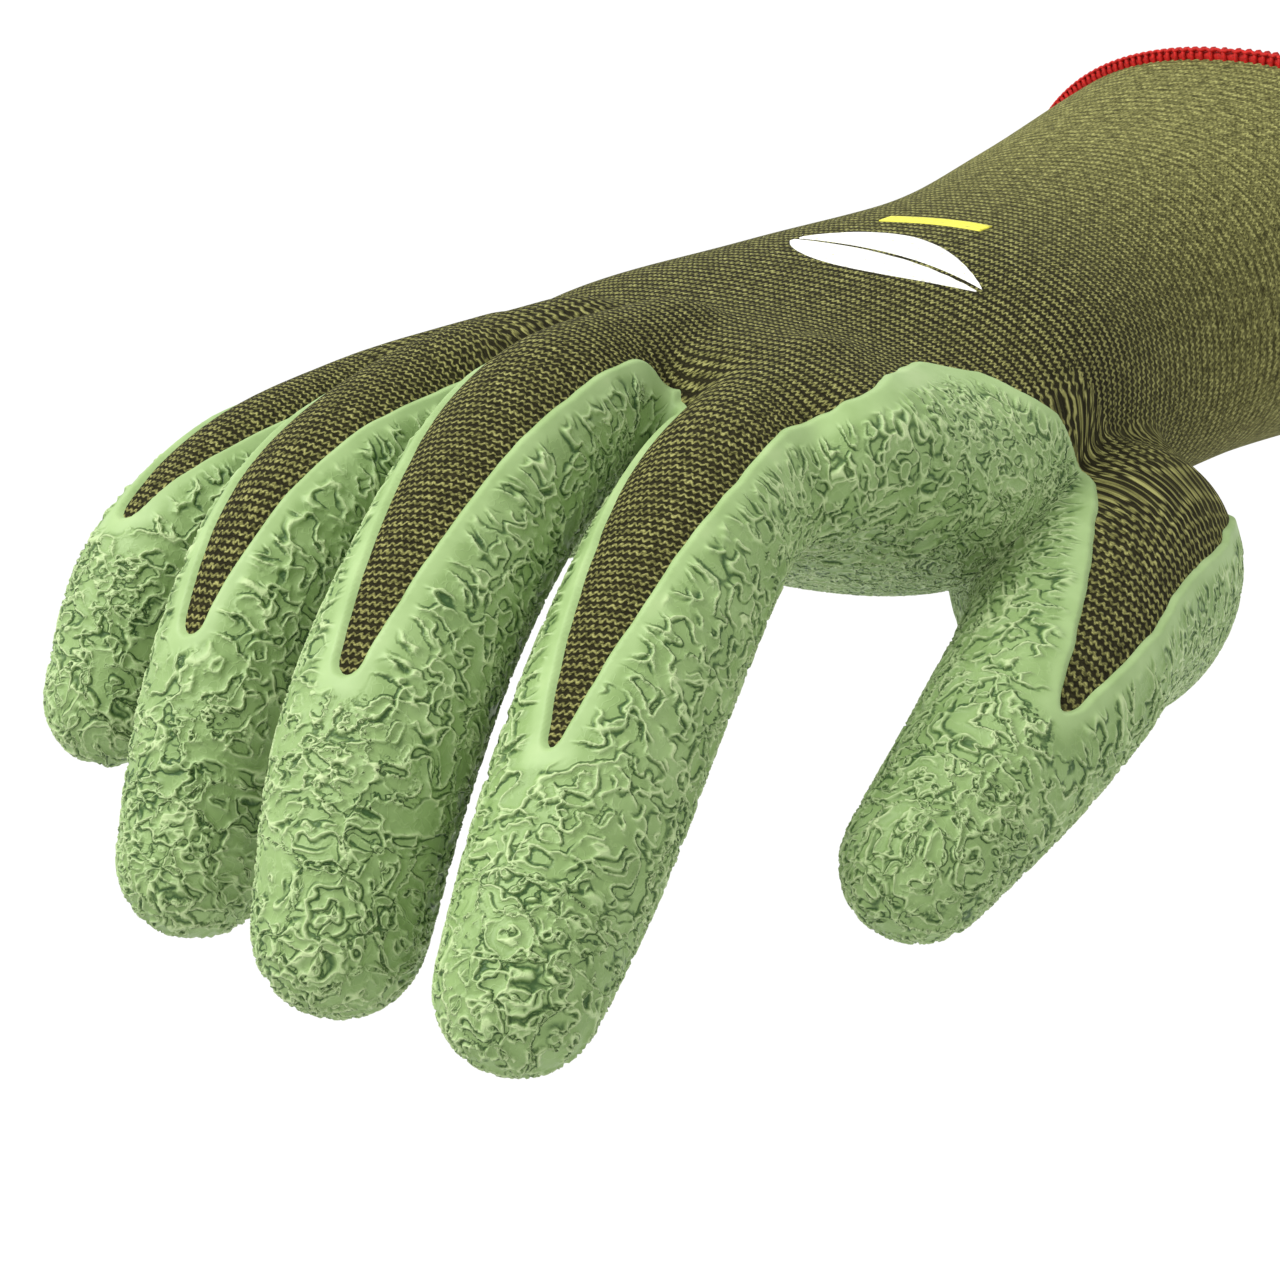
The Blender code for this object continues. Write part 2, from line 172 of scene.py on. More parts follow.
# the hand's sections: depth, middle x and z, half width and half height, tilt in degrees
HAND_ROWS = np.array((
    (-6, 1.3, 4.6, 36.8, 27.5, -1.0),
    (0, 1.1, 4.1, 36.3, 26.9, -0.8),
    (28, 0.0, 0.6, 34.4, 23.7, 2.2),
    (56, 1.1, -2.0, 32.8, 21.6, 1.6),
    (80, -0.1, -0.6, 39.1, 18.2, 1.1),
    (105, 1.0, -4.0, 42.9, 18.4, -4.7),
    (130, 0.6, -1.5, 42.8, 13.6, 3.9),
    (142, -1.0, -2.8, 42.2, 11.4, 2.0),
))
SQUARENESS = 2.4
FRONT_DEPTH = 141.0
FRONT_ROUND = 9.0
FRONT_TAPER = 0.6
FRONT_LEAST = 0.12
FRONT_ANGLES = np.linspace(0, 1.45, 12)
PAST_EDGE = 5.0
RING_STEP = 1.5
HAND_SIDES = 120
# points before the root, how far the tip is past the last flex line, its bend there, radii over the latex
DIGITS = {
    "index": (((24, -122, 3),), 17.9, 0.5, (11.0, 11.0, 11.4, 10.9, 9.2)),
    "middle": (((3, -124, 6),), 18.0, 17.0, (11.2, 11.2, 11.1, 11.1, 9.7)),
    "ring": (((-15, -122, 5),), 17.7, 16.5, (10.8, 10.8, 10.4, 9.8, 9.1)),
    "little": (((-33, -116, 1.5),), 15.3, 28.5, (9.9, 9.9, 9.3, 9.0, 8.2)),
    "thumb": (((24, -68, -9), (32.2, -77.1, -20.1)), 19.7, 11.4, (8.0, 17.6, 13.6, 11.2, 8.9)),
}
PATH_STEP = 0.75
SWEEP_SIDES = 40
CAP_ANGLES = np.radians((20, 40, 60, 76))
# the side of the skin's faces, and how it is relaxed: rounds, share of the way, and what a radius loses by it
VOXEL = 0.7
SMOOTHING = 20
SMOOTHING_WEIGHT = 0.5
SMOOTHING_LOSS = 0.11
MEASURED_AT_ONCE = 50000


def smooth_row(at, stations, values):
    """A cubic through the values at their stations, with each slope taken from the neighbours on both sides."""
    slopes = np.gradient(values, stations, axis=0)
    k = np.clip(np.searchsorted(stations, at) - 1, 0, len(stations) - 2)
    span = stations[k + 1] - stations[k]
    t = (at - stations[k]) / span
    if values.ndim == 2:
        t, span = t[:, None], span[:, None]
    start, end = (1 + 2 * t) * (1 - t) ** 2, t * t * (3 - 2 * t)
    return (start * values[k] + end * values[k + 1]
            + span * (t * (1 - t) ** 2 * slopes[k] + t * t * (t - 1) * slopes[k + 1]))


def unit(vectors):
    """Each vector over its length."""
    return vectors / np.maximum(np.linalg.norm(vectors, axis=-1, keepdims=True), 1e-9)


def squared(value, power):
    """A power of the value's size, with its sign kept."""
    return np.sign(value) * np.abs(value) ** power


def turned(vector, axis, degrees):
    """A vector square to the axis, turned about it: v cos a + (axis x v) sin a."""
    a = math.radians(degrees)
    return vector * math.cos(a) + np.cross(axis, vector) * math.sin(a)


def closed_sweep(rings):
    """Points and faces of a closed skin over rings: quads between them, and one face over each end."""
    rows, around = rings.shape[:2]
    index = np.arange(rows * around).reshape(rows, around)
    nearer, further = index[:-1], index[1:]
    quads = np.stack((nearer, further, np.roll(further, -1, 1), np.roll(nearer, -1, 1)), -1).reshape(-1, 4)
    return rings.reshape(-1, 3), quads.tolist() + [index[0].tolist(), index[-1][::-1].tolist()]


def hand_section(depth):
    """Middle x and z, half width, half height and tilt of the hand at each depth."""
    return smooth_row(depth, HAND_ROWS[:, 0], HAND_ROWS[:, 1:])


def hand_rings():
    """Squared ovals |x/w|^n + |z/h|^n = 1 across the hand, turned by their tilt, the last ones rounded off."""
    depth = np.concatenate((np.arange(-PAST_EDGE, FRONT_DEPTH - FRONT_ROUND, RING_STEP),
                            FRONT_DEPTH - FRONT_ROUND * (1 - np.sin(FRONT_ANGLES))))
    x, z, wide, high, tilt = hand_section(depth).T
    past = np.clip((depth - FRONT_DEPTH + FRONT_ROUND) / FRONT_ROUND, 0, 1)
    shrink = np.sqrt(1 - past ** 2)
    wide, high = wide - FRONT_ROUND * (1 - shrink) * FRONT_TAPER, high * np.clip(shrink, FRONT_LEAST, 1)
    a = np.linspace(0, 2 * np.pi, HAND_SIDES, endpoint=False)
    u = wide[:, None] * squared(np.cos(a), 2 / SQUARENESS)
    v = high[:, None] * squared(np.sin(a), 2 / SQUARENESS)
    t = np.radians(tilt)[:, None]
    return np.stack((x[:, None] + u * np.cos(t) - v * np.sin(t), np.broadcast_to(-depth[:, None], u.shape),
                     z[:, None] + u * np.sin(t) + v * np.cos(t)), -1)


class Digit:
    """A finger or the thumb: the smooth line through its flex lines, with its directions and its radius."""

    def __init__(self, name):
        before, tip_length, tip_bend, radii = DIGITS[name]
        hinges = [j for j in frame["joints"] if j["child"].startswith(name + "_")]
        flex = np.array([j["pos_m"] for j in hinges]) / MM
        axis = unit(np.array(hinges[0]["axis"]))
        last = turned(unit(flex[-1] - flex[-2]), axis, tip_bend)
        points = np.vstack((np.array(before), flex, flex[-1] + last * tip_length))
        station = np.concatenate(([0], np.cumsum(np.linalg.norm(np.diff(points, axis=0), axis=1))))
        at = np.arange(0, station[-1], PATH_STEP)
        self.name = name
        self.points = points
        self.hinges = hinges
        self.root = len(before)
        self.centre = smooth_row(at, station, points)
        self.along = unit(np.gradient(self.centre, axis=0))
        self.up = unit(np.cross(self.along, axis))
        self.side = np.cross(self.up, self.along)
        step = np.linalg.norm(np.diff(self.centre, axis=0), axis=1)
        line = np.concatenate(([0], np.cumsum(step)))
        self.flex_at = np.interp(station[self.root:], at, line)
        self.arc = line - self.flex_at[0]
        self.flex_at = self.flex_at - self.flex_at[0]
        self.radius = smooth_row(at, station, np.array(radii)) - LATEX_DEPTH + SMOOTHING_LOSS

    def rings(self):
        """Circles square to the line, with half a ball at each end."""
        def ends(k, sign):
            way = sign * self.along[k] * self.radius[k]
            return [(self.centre[k] + way * np.sin(a), self.radius[k] * np.cos(a), k) for a in CAP_ANGLES]
        body = [(self.centre[k], self.radius[k], k) for k in range(len(self.centre))]
        rows = ends(0, -1)[::-1] + body + ends(-1, 1)
        a = np.linspace(0, 2 * np.pi, SWEEP_SIDES, endpoint=False)[:, None]
        return np.array([c - r * (np.cos(a) * self.side[k] - np.sin(a) * self.up[k]) for c, r, k in rows])

    def measure(self, points):
        """For each point: how far along from the root, across, up, and how far off the digit's own skin."""
        reach = (self.centre ** 2).sum(1)
        parts = np.array_split(points, max(1, len(points) // MEASURED_AT_ONCE))
        nearest = np.concatenate([(reach - 2 * part @ self.centre.T).argmin(1) for part in parts])
        off = points - self.centre[nearest]
        s = self.arc[nearest] + (off * self.along[nearest]).sum(1)
        across, rise = (off * self.side[nearest]).sum(1), (off * self.up[nearest]).sum(1)
        return s, across, rise, np.linalg.norm(off, axis=1) - self.radius[nearest]


def plain_object(name, points, faces):
    """A mesh object at the origin, with points in millimetres."""
    mesh = bpy.data.meshes.new(name)
    mesh.from_pydata((points * MM).tolist(), [], faces)
    thing = bpy.data.objects.new(name, mesh)
    bpy.context.collection.objects.link(thing)
    return thing


def with_modifier(thing, kind, **settings):
    """A new mesh: the object's, with one modifier carried out."""
    modifier = thing.modifiers.new("step", kind)
    for name, value in settings.items():
        setattr(modifier, name, value)
    bpy.context.view_layer.update()
    result = bpy.data.meshes.new_from_object(thing.evaluated_get(bpy.context.evaluated_depsgraph_get()))
    thing.modifiers.clear()
    return result


def mesh_points(mesh):
    """A mesh's points in millimetres, and its quads."""
    points = np.empty(len(mesh.vertices) * 3)
    mesh.vertices.foreach_get("co", points)
    corners = np.empty(len(mesh.loops), int)
    mesh.loops.foreach_get("vertex_index", corners)
    return points.reshape(-1, 3) / MM, corners.reshape(-1, 4)


def quad_edges(quads):
    """Each edge of a skin once, as two rows of point numbers."""
    ahead = np.roll(quads, -1, 1)
    size = int(quads.max()) + 1
    keys = np.unique(np.minimum(quads, ahead).astype(np.int64) * size + np.maximum(quads, ahead))
    return keys // size, keys % size


def relaxed(points, quads, rounds, weight):
    """Points moved part way towards the middle of their neighbours, a number of times."""
    a, b = quad_edges(quads)
    count = np.bincount(a, minlength=len(points)) + np.bincount(b, minlength=len(points))
    for _ in range(rounds):
        total = np.stack([np.bincount(a, points[b, i], len(points)) + np.bincount(b, points[a, i], len(points))
                          for i in range(3)], 1)
        points = points + weight * (total / count[:, None] - points)
    return points


def ramp(value, low, high):
    """0 below low, 1 above high, and t^2 (3 - 2t) between."""
    t = np.clip((value - low) / (high - low), 0, 1)
    return t * t * (3 - 2 * t)


digits = {name: Digit(name) for name in DIGITS}
shells = [closed_sweep(hand_rings())] + [closed_sweep(d.rings()) for d in digits.values()]
starts = np.cumsum([0] + [len(points) for points, _ in shells])
blank = plain_object("form", np.vstack([points for points, _ in shells]),
                     [[k + start for k in face] for (_, faces), start in zip(shells, starts) for face in faces])
remeshed = with_modifier(blank, "REMESH", mode="VOXEL", voxel_size=VOXEL * MM, adaptivity=0.0)
bpy.data.objects.remove(blank)
points, quads = mesh_points(remeshed)
points = relaxed(points, quads, SMOOTHING, SMOOTHING_WEIGHT)


# Liner: the knitted skin is 1 mm thick, of doubled olive marl yarn in plain stitch, and isn't sewn anywhere.
# It is cut up here only so that it can bend: round the wrist, and half way between a digit's flex lines.
# Neighbouring pieces keep the same points along a cut, so that no seam shows.
LINER_THICKNESS = 1.0
WRIST_FROM = 44.0
WRIST_TO = 67.0
KNUCKLES_FROM = 104.0
# how far off a digit's own skin a face still belongs to it, and where it is cut, as shares between flex lines
DIGIT_REACH = 3.0
NO_DIGIT = 99.0
FIRST_CUT = 0.58
NEXT_CUT = 0.5
FIRST_DIGIT_ZONE = 4
MOST_SEGMENTS = 3
# where the yarn turns from the hand's courses to a digit's: from and to past the root, and off the digit's skin
FINGER_YARN = (-14.0, 4.0, 2.0, 6.0)
THUMB_YARN = (-30.0, 6.0, 2.0, 14.0)


def corner_normals(points, quads):
    """Point normals: the sum of the face normals round each point, each the cross product of its diagonals."""
    p = points[quads]
    face = np.cross(p[:, 2] - p[:, 0], p[:, 3] - p[:, 1])
    total = np.stack([np.bincount(quads.ravel(), np.repeat(face[:, i], 4), len(points)) for i in range(3)], 1)
    return unit(total)


def measured_on(places):
    """Every digit's measures of the places."""
    return {name: d.measure(places) for name, d in digits.items()}


def nearest_digit(measured):
    """The number of the digit that each place lies on, or -1 on the hand, and how far along it the place is."""
    off = np.stack([np.where(m[0] > 0, m[3], NO_DIGIT) for m in measured.values()])
    number = off.argmin(0)
    along = np.stack([m[0] for m in measured.values()])[number, np.arange(len(number))]
    return np.where(off.min(0) < DIGIT_REACH, number, -1), along


def face_zones(points, quads):
    """Each face's zone: 0 cuff, 1 wrist, 2 the hand's heel half, 3 its knuckle half, then three for each digit,
    split between its flex lines."""
    middle = points[quads].mean(1)
    number, s = nearest_digit(measured_on(middle))
    depth = -middle[:, 1]
    zone = np.searchsorted((WRIST_FROM, WRIST_TO, KNUCKLES_FROM), depth)
    for k, d in enumerate(digits.values()):
        share = np.array((FIRST_CUT, NEXT_CUT))[-len(d.hinges) + 1:]
        cuts = d.flex_at[:-2] + share * np.diff(d.flex_at)[:-1]
        zone = np.where(number == k, FIRST_DIGIT_ZONE + MOST_SEGMENTS * k + np.searchsorted(cuts, s), zone)
    return zone


def border(quads):
    """Directed edges that only one face has."""
    edges = np.concatenate((quads[:, :2], quads[:, 1:3], quads[:, 2:], quads[:, [3, 0]]))
    size = quads.max() + 1
    forward, reverse = edges[:, 0] * size + edges[:, 1], edges[:, 1] * size + edges[:, 0]
    return edges[~np.isin(forward, reverse)]


def packed(quads, *rows):
    """Faces renumbered over only the points they use, and each row of values cut down to those points."""
    used, numbers = np.unique(quads, return_inverse=True)
    return (numbers.reshape(-1, 4),) + tuple(row[used] for row in rows)


def quad_object(name, points, quads, normals, materials, corner_uv=None, values=None):
    """A smooth piece from points in millimetres, quads, point normals, corner UVs and point values."""
    mesh = bpy.data.meshes.new(name)
    mesh.vertices.add(len(points))
    mesh.vertices.foreach_set("co", (points * MM).ravel())
    mesh.loops.add(quads.size)
    mesh.loops.foreach_set("vertex_index", quads.ravel())
    mesh.polygons.add(len(quads))
    mesh.polygons.foreach_set("loop_start", np.arange(0, quads.size, 4))
    if corner_uv is not None:
        mesh.uv_layers.new(name="UVMap").uv.foreach_set("vector", corner_uv.ravel())
    for value_name, value in (values or {}).items():
        mesh.attributes.new(value_name, "FLOAT", "POINT").data.foreach_set("value", value)
    mesh.update(calc_edges=True)
    mesh.polygons.foreach_set("use_smooth", np.ones(len(quads), bool))
    if normals is not None:
        mesh.normals_split_custom_set_from_vertices(normals.tolist())
    for material in materials:
        mesh.materials.append(material)
    thing = bpy.data.objects.new(name, mesh)
    bpy.context.collection.objects.link(thing)
    return thing


def knit_map(points):
    """Where the yarn runs, in millimetres: round the section, and along the hand and then along each digit.
    Round the hand is |x| + (h - z) over the back and 2w + 2h less that round the palm; round a digit is r times
    the angle. The last value is once round, for faces across the seam under the palm."""
    x, depth, z = points[:, 0], -points[:, 1], points[:, 2]
    middle_x, middle_z, wide, high, _ = hand_section(np.clip(depth, -5, FRONT_DEPTH)).T
    dx, dz = x - middle_x, z - middle_z
    round_back, round_palm = np.abs(dx) + high - dz, 2 * wide + 2 * high - np.abs(dx) - high - dz
    u = np.sign(dx) * np.where(dz > 0, round_back, round_palm)
    v, once = depth.copy(), 4 * (wide + high)
    for d in digits.values():
        s, across, rise, off = d.measure(points)
        start_at, end_at, near, far = THUMB_YARN if d.name == "thumb" else FINGER_YARN
        share = ramp(s, start_at, end_at) * (1 - ramp(off, near, far))
        radius = np.interp(s, d.arc, d.radius)
        start = d.points[d.root]
        u = u * (1 - share) + share * (start[0] + np.arctan2(across, rise) * radius)
        v = v * (1 - share) + share * (s - start[1])
        once = np.where(share > 0.5, 2 * np.pi * radius, once)
    return u, v, once


def corners_of(quads, u, v, once):
    """The map at each face's corners, with the corners that lie past the seam moved once round."""
    corner_u = u[quads]
    split = (corner_u.max(1) - corner_u.min(1)) > once[quads[:, 0]] / 2
    corner_u = corner_u + np.where(split[:, None] & (corner_u < 0), once[quads[:, 0]][:, None], 0)
    return np.stack((corner_u, v[quads]), -1)


def with_wall(points, quads, normals, corner_uv, thickness):
    """A skin, the same skin a thickness further in and turned over, and a rim of quads along its open edges."""
    count = len(points)
    edge = border(quads)
    rim = np.stack((edge[:, 1], edge[:, 0], edge[:, 0] + count, edge[:, 1] + count), 1)
    uv = np.zeros((count, 2))
    uv[quads.ravel()] = corner_uv.reshape(-1, 2)
    rim_uv = uv[rim % count]
    return (np.vstack((points, points - normals * thickness)), np.vstack((quads, quads[:, ::-1] + count, rim)),
            np.vstack((normals, -normals)), np.concatenate((corner_uv, corner_uv[:, ::-1], rim_uv)))


zones = face_zones(points, quads)
open_cuff = points[quads][:, :, 1].max(1) > 0.0
quads, zones = quads[~open_cuff], zones[~open_cuff]


# Knit finish: olive marl cotton and polyester, two shades of yarn twisted together, knitted in plain courses.
# Matt and fuzzy: pale yarn over painted shade in the gaps shaped like lenses between the loops, and a blotchy
# heather over all.
# The courses are tight in the cuff, and stretched most over the back of the hand.
YARN_PALE = "#a09f62"
YARN_MID = "#787744"
YARN_DARK = "#484726"
GAP_SHADE = "#171407"
COURSE = 0.95
HAND_COURSE = 1.5
STRETCHED_TO = 138.0
WALE = 0.95
LOOP_SWING = 0.25
LOOP_WANDER = 0.64
WANDER_SCALE = 0.9
LOOP_DEPTH = 0.45
# the marl's streaks lie along the yarn, so they are longer round the hand than along it
STREAKS = (0.55, 1.5, 1.0)
HEATHER_SCALE = 0.9
FIBRE_SCALE = 5.0
FIBRE_TINT = 0.5
FIBRE_RELIEF = 0.35
YARN_STOPS = (0.36, 0.5, 0.64)
# the loop height over which the painted shade in the gaps fades out into yarn
GAP_FROM = 0.25
GAP_TO = 0.75
CUFF_KNIT_TO = 30.0
HAND_KNIT_FROM = 85.0
CUFF_OPENNESS = 0.5
HAND_OPENNESS = 0.95
KNIT_ROUGHNESS = 0.95
KNIT_GLOSS = 0.12
RELIEF_STRENGTH = 0.8


def add_math(tree, operation, first, second=None, third=None):
    """A Math node's output."""
    values = [(k, v) for k, v in enumerate((first, second, third)) if v is not None]
    return add_node(tree, "ShaderNodeMath", values, operation=operation).outputs[0]


def add_ramp(tree, factor, stops):
    """A colour ramp's output, from places and hex colours."""
    stops = list(stops)
    node = add_node(tree, "ShaderNodeValToRGB", [("Fac", factor)])
    while len(node.color_ramp.elements) < len(stops):
        node.color_ramp.elements.new(0.5)
    for element, (place, colour) in zip(node.color_ramp.elements, stops):
        element.position = place
        element.color = linear(colour)
    return node.outputs["Color"]


def knit_material(name):
    """Knit in plain courses: each row of loops swings by a sine along it, the next row the other way, and the
    height across the rows is 0.5 + 0.5 cos. Noise moves the loops and mixes the two yarns; low gaps are painted
    shade."""
    material, tree = start_material(name)
    uv = add_node(tree, "ShaderNodeUVMap", uv_map="UVMap").outputs["UV"]
    wander = add_node(tree, "ShaderNodeTexNoise", [("Vector", uv), ("Scale", WANDER_SCALE), ("Detail", 2.0)])
    moved = add_node(tree, "ShaderNodeVectorMath", [(0, wander.outputs["Color"]), (1, (0.5, 0.5, 0.5))],
                     operation="SUBTRACT").outputs[0]
    moved = add_node(tree, "ShaderNodeVectorMath", [(0, moved), (1, (LOOP_WANDER,) * 3), (2, uv)],
                     operation="MULTIPLY_ADD").outputs[0]
    split = add_node(tree, "ShaderNodeSeparateXYZ", [("Vector", moved)])
    on_fingers = add_math(tree, "MAXIMUM", add_math(tree, "SUBTRACT", split.outputs["Y"], STRETCHED_TO), 0.0)
    on_hand = add_math(tree, "MINIMUM", split.outputs["Y"], STRETCHED_TO)
    row = add_math(tree, "ADD", add_math(tree, "DIVIDE", on_hand, HAND_COURSE),
                   add_math(tree, "DIVIDE", on_fingers, COURSE))
    wale = add_math(tree, "SINE", add_math(tree, "MULTIPLY", split.outputs["X"], 2 * math.pi / WALE))
    parity = add_math(tree, "COSINE", add_math(tree, "MULTIPLY", row, math.pi))
    swing = add_math(tree, "MULTIPLY", add_math(tree, "MULTIPLY", wale, parity), LOOP_SWING)
    turn = add_math(tree, "MULTIPLY", add_math(tree, "SUBTRACT", row, swing), 2 * math.pi)
    loops = add_math(tree, "MULTIPLY_ADD", add_math(tree, "COSINE", turn), 0.5, 0.5)
    streaks = add_node(tree, "ShaderNodeMapping", [("Vector", moved), ("Scale", STREAKS)]).outputs[0]
    heather = add_node(tree, "ShaderNodeTexNoise", [("Vector", streaks), ("Scale", HEATHER_SCALE),
                                                     ("Detail", 4.0), ("Roughness", 0.75)]).outputs["Fac"]
    fibre = add_node(tree, "ShaderNodeTexNoise", [("Vector", streaks), ("Scale", FIBRE_SCALE),
                                                   ("Detail", 2.0)]).outputs["Fac"]
    fibre = add_math(tree, "SUBTRACT", fibre, 0.5)
    mixed = add_math(tree, "MULTIPLY_ADD", fibre, FIBRE_TINT, heather)
    yarn = add_ramp(tree, mixed, zip(YARN_STOPS, (YARN_DARK, YARN_MID, YARN_PALE)))
    height = add_math(tree, "MULTIPLY_ADD", fibre, FIBRE_RELIEF, loops)
    gap = add_node(tree, "ShaderNodeMapRange", [("Value", height), ("From Min", GAP_FROM),
                                                 ("From Max", GAP_TO)])
    openness = add_node(tree, "ShaderNodeMapRange", [("Value", split.outputs["Y"]), ("From Min", CUFF_KNIT_TO),
                                                      ("From Max", HAND_KNIT_FROM), ("To Min", CUFF_OPENNESS),
                                                      ("To Max", HAND_OPENNESS)]).outputs[0]
    closed = add_math(tree, "SUBTRACT", 1.0, openness)
    shade_mix = add_math(tree, "MULTIPLY_ADD", gap.outputs[0], openness, closed)
    # painted shade: a near black mixed in over the gaps where the loops are low, less of it in the tighter cuff
    colour = add_node(tree, "ShaderNodeMix", data_type="RGBA")
    # the Mix node's colour sockets share their names with its numbers, so they are set by number
    tree.links.new(shade_mix, colour.inputs[0])
    colour.inputs[6].default_value = linear(GAP_SHADE)
    tree.links.new(yarn, colour.inputs[7])
    relief = add_node(tree, "ShaderNodeBump", [("Height", add_math(tree, "MULTIPLY", height, openness)),
                                               ("Strength", RELIEF_STRENGTH), ("Distance", LOOP_DEPTH * MM)])
    end_material(tree, [("Base Color", colour.outputs[2]), ("Roughness", KNIT_ROUGHNESS),
                        ("Specular IOR Level", KNIT_GLOSS), ("Normal", relief.outputs["Normal"])])
    return material


# for each part of a digit: where it starts and ends bending, in millimetres past the root, or in segments
BEND_MARGIN = 1.0
BEND_SHARES = {
    "index": ((2.0, 0.5), (-0.30, 0.38), (-0.35, 0.4)),
    "middle": ((3.5, 0.5), (-0.30, 0.38), (-0.35, 0.4)),
    "ring": ((5.0, 0.5), (-0.30, 0.38), (-0.35, 0.4)),
    "little": ((5.5, 0.55), (-0.28, 0.38), (-0.35, 0.4)),
    "thumb": ((1.5, 0.42), (-0.33, 0.4)),
}


def zone_bend(zone):
    """The two bodies that a piece lies on, and where it starts and ends bending, or one body twice."""
    if zone == 0:
        return "cuff", "cuff", None, None
    if zone == 1:
        return "cuff", "hand", (0.0, -(WRIST_FROM + BEND_MARGIN), 0.0), (0.0, -(WRIST_TO - BEND_MARGIN), 0.0)
    if zone < FIRST_DIGIT_ZONE:
        return "hand", "hand", None, None
    number, part = divmod(zone - FIRST_DIGIT_ZONE, MOST_SEGMENTS)
    d = list(digits.values())[number]
    hinge = d.points[d.root + part]
    before, after = hinge - d.points[d.root + part - 1], d.points[d.root + part + 1] - hinge
    low, high = BEND_SHARES[d.name][part]
    start = hinge + before * low if part else hinge + unit(after) * low
    return d.hinges[part]["parent"], d.hinges[part]["child"], start, hinge + after * high


def settle(thing, zone, nodes):
    """Attaches a piece on one body to that body, or else bakes its placing in, and hides the nodes it stands
    for.
    """
    first, second, start, end = zone_bend(zone)
    if start is None:
        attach(thing, first)
    else:
        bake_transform(thing)
    if nodes:
        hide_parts(*nodes)


def zone_names():
    """Each zone's number, its piece's name, and the nodes that its knit and its coat stand for."""
    yield 0, "cuff", ("cuff_knit",), ()
    yield 1, "wrist", ("wrist_crease",), ()
    yield 2, "hand", ("hand_liner",), ("palm_latex",)
    yield 3, "knuckles", (), ()
    for k, d in enumerate(digits.values()):
        for part, hinge in enumerate(d.hinges):
            piece = hinge["child"]
            yield (FIRST_DIGIT_ZONE + MOST_SEGMENTS * k + part, piece, (piece + "_knit",),
                   (piece + "_latex", piece + "_crease"))


skin_normals = corner_normals(points, quads)
points[np.unique(border(quads)), 1] = 0.0
yarn_u, yarn_v, yarn_once = knit_map(points)
olive_knit = knit_material("olive_marl_plain_knit")
for zone, piece_name, knit_nodes, _ in zone_names():
    inside = zones == zone
    corner_uv = corners_of(quads[inside], yarn_u, yarn_v, yarn_once)
    piece_quads, piece_points, piece_normals = packed(quads[inside], points, skin_normals)
    wall = with_wall(piece_points, piece_quads, piece_normals, corner_uv, LINER_THICKNESS)
    wall_points, wall_quads, wall_normals, wall_uv = wall
    knit = quad_object(piece_name + "_fabric", wall_points, wall_quads, wall_normals, [olive_knit], wall_uv)
    settle(knit, zone, knit_nodes)


# Latex coat: the palm, the finger sides and the tips, dipped in green latex that is crinkled while it sets.
# It is bonded to the liner. A tongue of bare knit runs down the back of each digit, and the edge is smooth.
# The crinkles are crests along the zero lines of a noise, kept off the edge, and combed square to it close by.
COAT_HEEL = -68.0
COAT_FRONT = -138.5
# y, and the height of the coat's edge on the thumb's side of the hand
THUMB_SIDE_EDGE = np.array(((-150, 5.0), (-135, 7.8), (-122, 9.2), (-112, 8.6), (-104.6, 6.4), (-97, 0.5),
                            (-92.5, -8.5), (-89.5, -17.4), (-75, -17.4), (-60, -17.0)))
LITTLE_SIDE_EDGE = 1.0
# x from where the edge leaves the little finger's side, to where it is the thumb side's
SIDE_CHANGE = (-6, 20)
# how far down the digit as a share of its tongue, and half the tongue's width
TONGUE = np.array(((-0.5, 10.0), (-0.27, 9.6), (-0.09, 9.4), (0.11, 8.6), (0.41, 6.2), (0.57, 5.1), (0.77, 3.4),
                   (0.91, 2.1), (1.0, 1.5), (1.2, 1.2)))
TONGUE_LENGTHS = {"index": 44.0, "middle": 48.2, "ring": 44.3, "little": 35.0}
TONGUE_SHIFT = {"index": -0.3, "middle": 0.0, "ring": -0.36, "little": 0.0}
TONGUE_NARROWING = {"index": 0.7, "middle": 0.0, "ring": 0.0, "little": 0.0}
TONGUE_START = (-22, -14)
TONGUE_REACH = (1.5, 5.0)
# how far along the thumb, and the angles of its tongue's two edges
THUMB_TONGUE = np.array(((-40, -90, 24), (-23, -80, 20), (-13, -47, 17), (-3, -41, 15.5), (6, -33, 15.5),
                         (13, -26, 12), (24, -11, 4.5), (26.5, -6, 0.5)))
THUMB_TONGUE_END = 26.8
THUMB_TONGUE_START = (-26, -18)
THUMB_TONGUE_REACH = (2.0, 6.0)
NO_TONGUE = 12.0
TIP_BLEND = 2.0
FLANK_BLEND = 1.0
EDGE_BLEND = 3.0
WEB_BLEND = 5.0
# the edge's wavering, how it rises out of the knit, and how far in from it the crinkles start and are full
SCALLOP = 0.3
SCALLOP_SIZE = 4.0
EDGE_RISE = (-0.5, 0.45)
EDGE_UNDER = -0.35
MARGIN = (1.3, 3.0)
MARGIN_WANDER = 1.2
MARGIN_SIZE = 3.0
COMB_FADE = (3.0, 14.0)
COMB_STRETCH = 0.6
# the sizes of the two nets of crests on the digits and on the palm, where the crests are also lower
WIDE_NETS = (2.7, 2.1)
CLOSE_NETS = (1.8, 1.35)
DIGITS_FROM = 6.5
PALM_SHARE = 0.5
KINK = 0.75
KINK_SIZE = 1.7
CRINKLE_HEIGHT = 0.42
CREST_WIDTH = 0.27
HOLLOW_DEPTH = 0.4
HOLLOW_PLACE = -1.9
HOLLOW_WIDTH = 0.9
KEPT_CRESTS = (-0.24, 0.02)
LEAST_SLOPE = 0.5
KEEP_PAST_EDGE = -0.8
SEED = 41


def smooth_lower(a, b, reach):
    """The lower of two distances, filleted: min(a, b) - h^2 reach / 4, where h is 1 - |a - b| / reach, or 0."""
    h = np.clip(reach - np.abs(a - b), 0, None) / reach
    return np.minimum(a, b) - h * h * reach / 4


def smooth_upper(a, b, reach):
    """The higher of two distances, filleted the same way."""
    return -smooth_lower(-a, -b, reach)


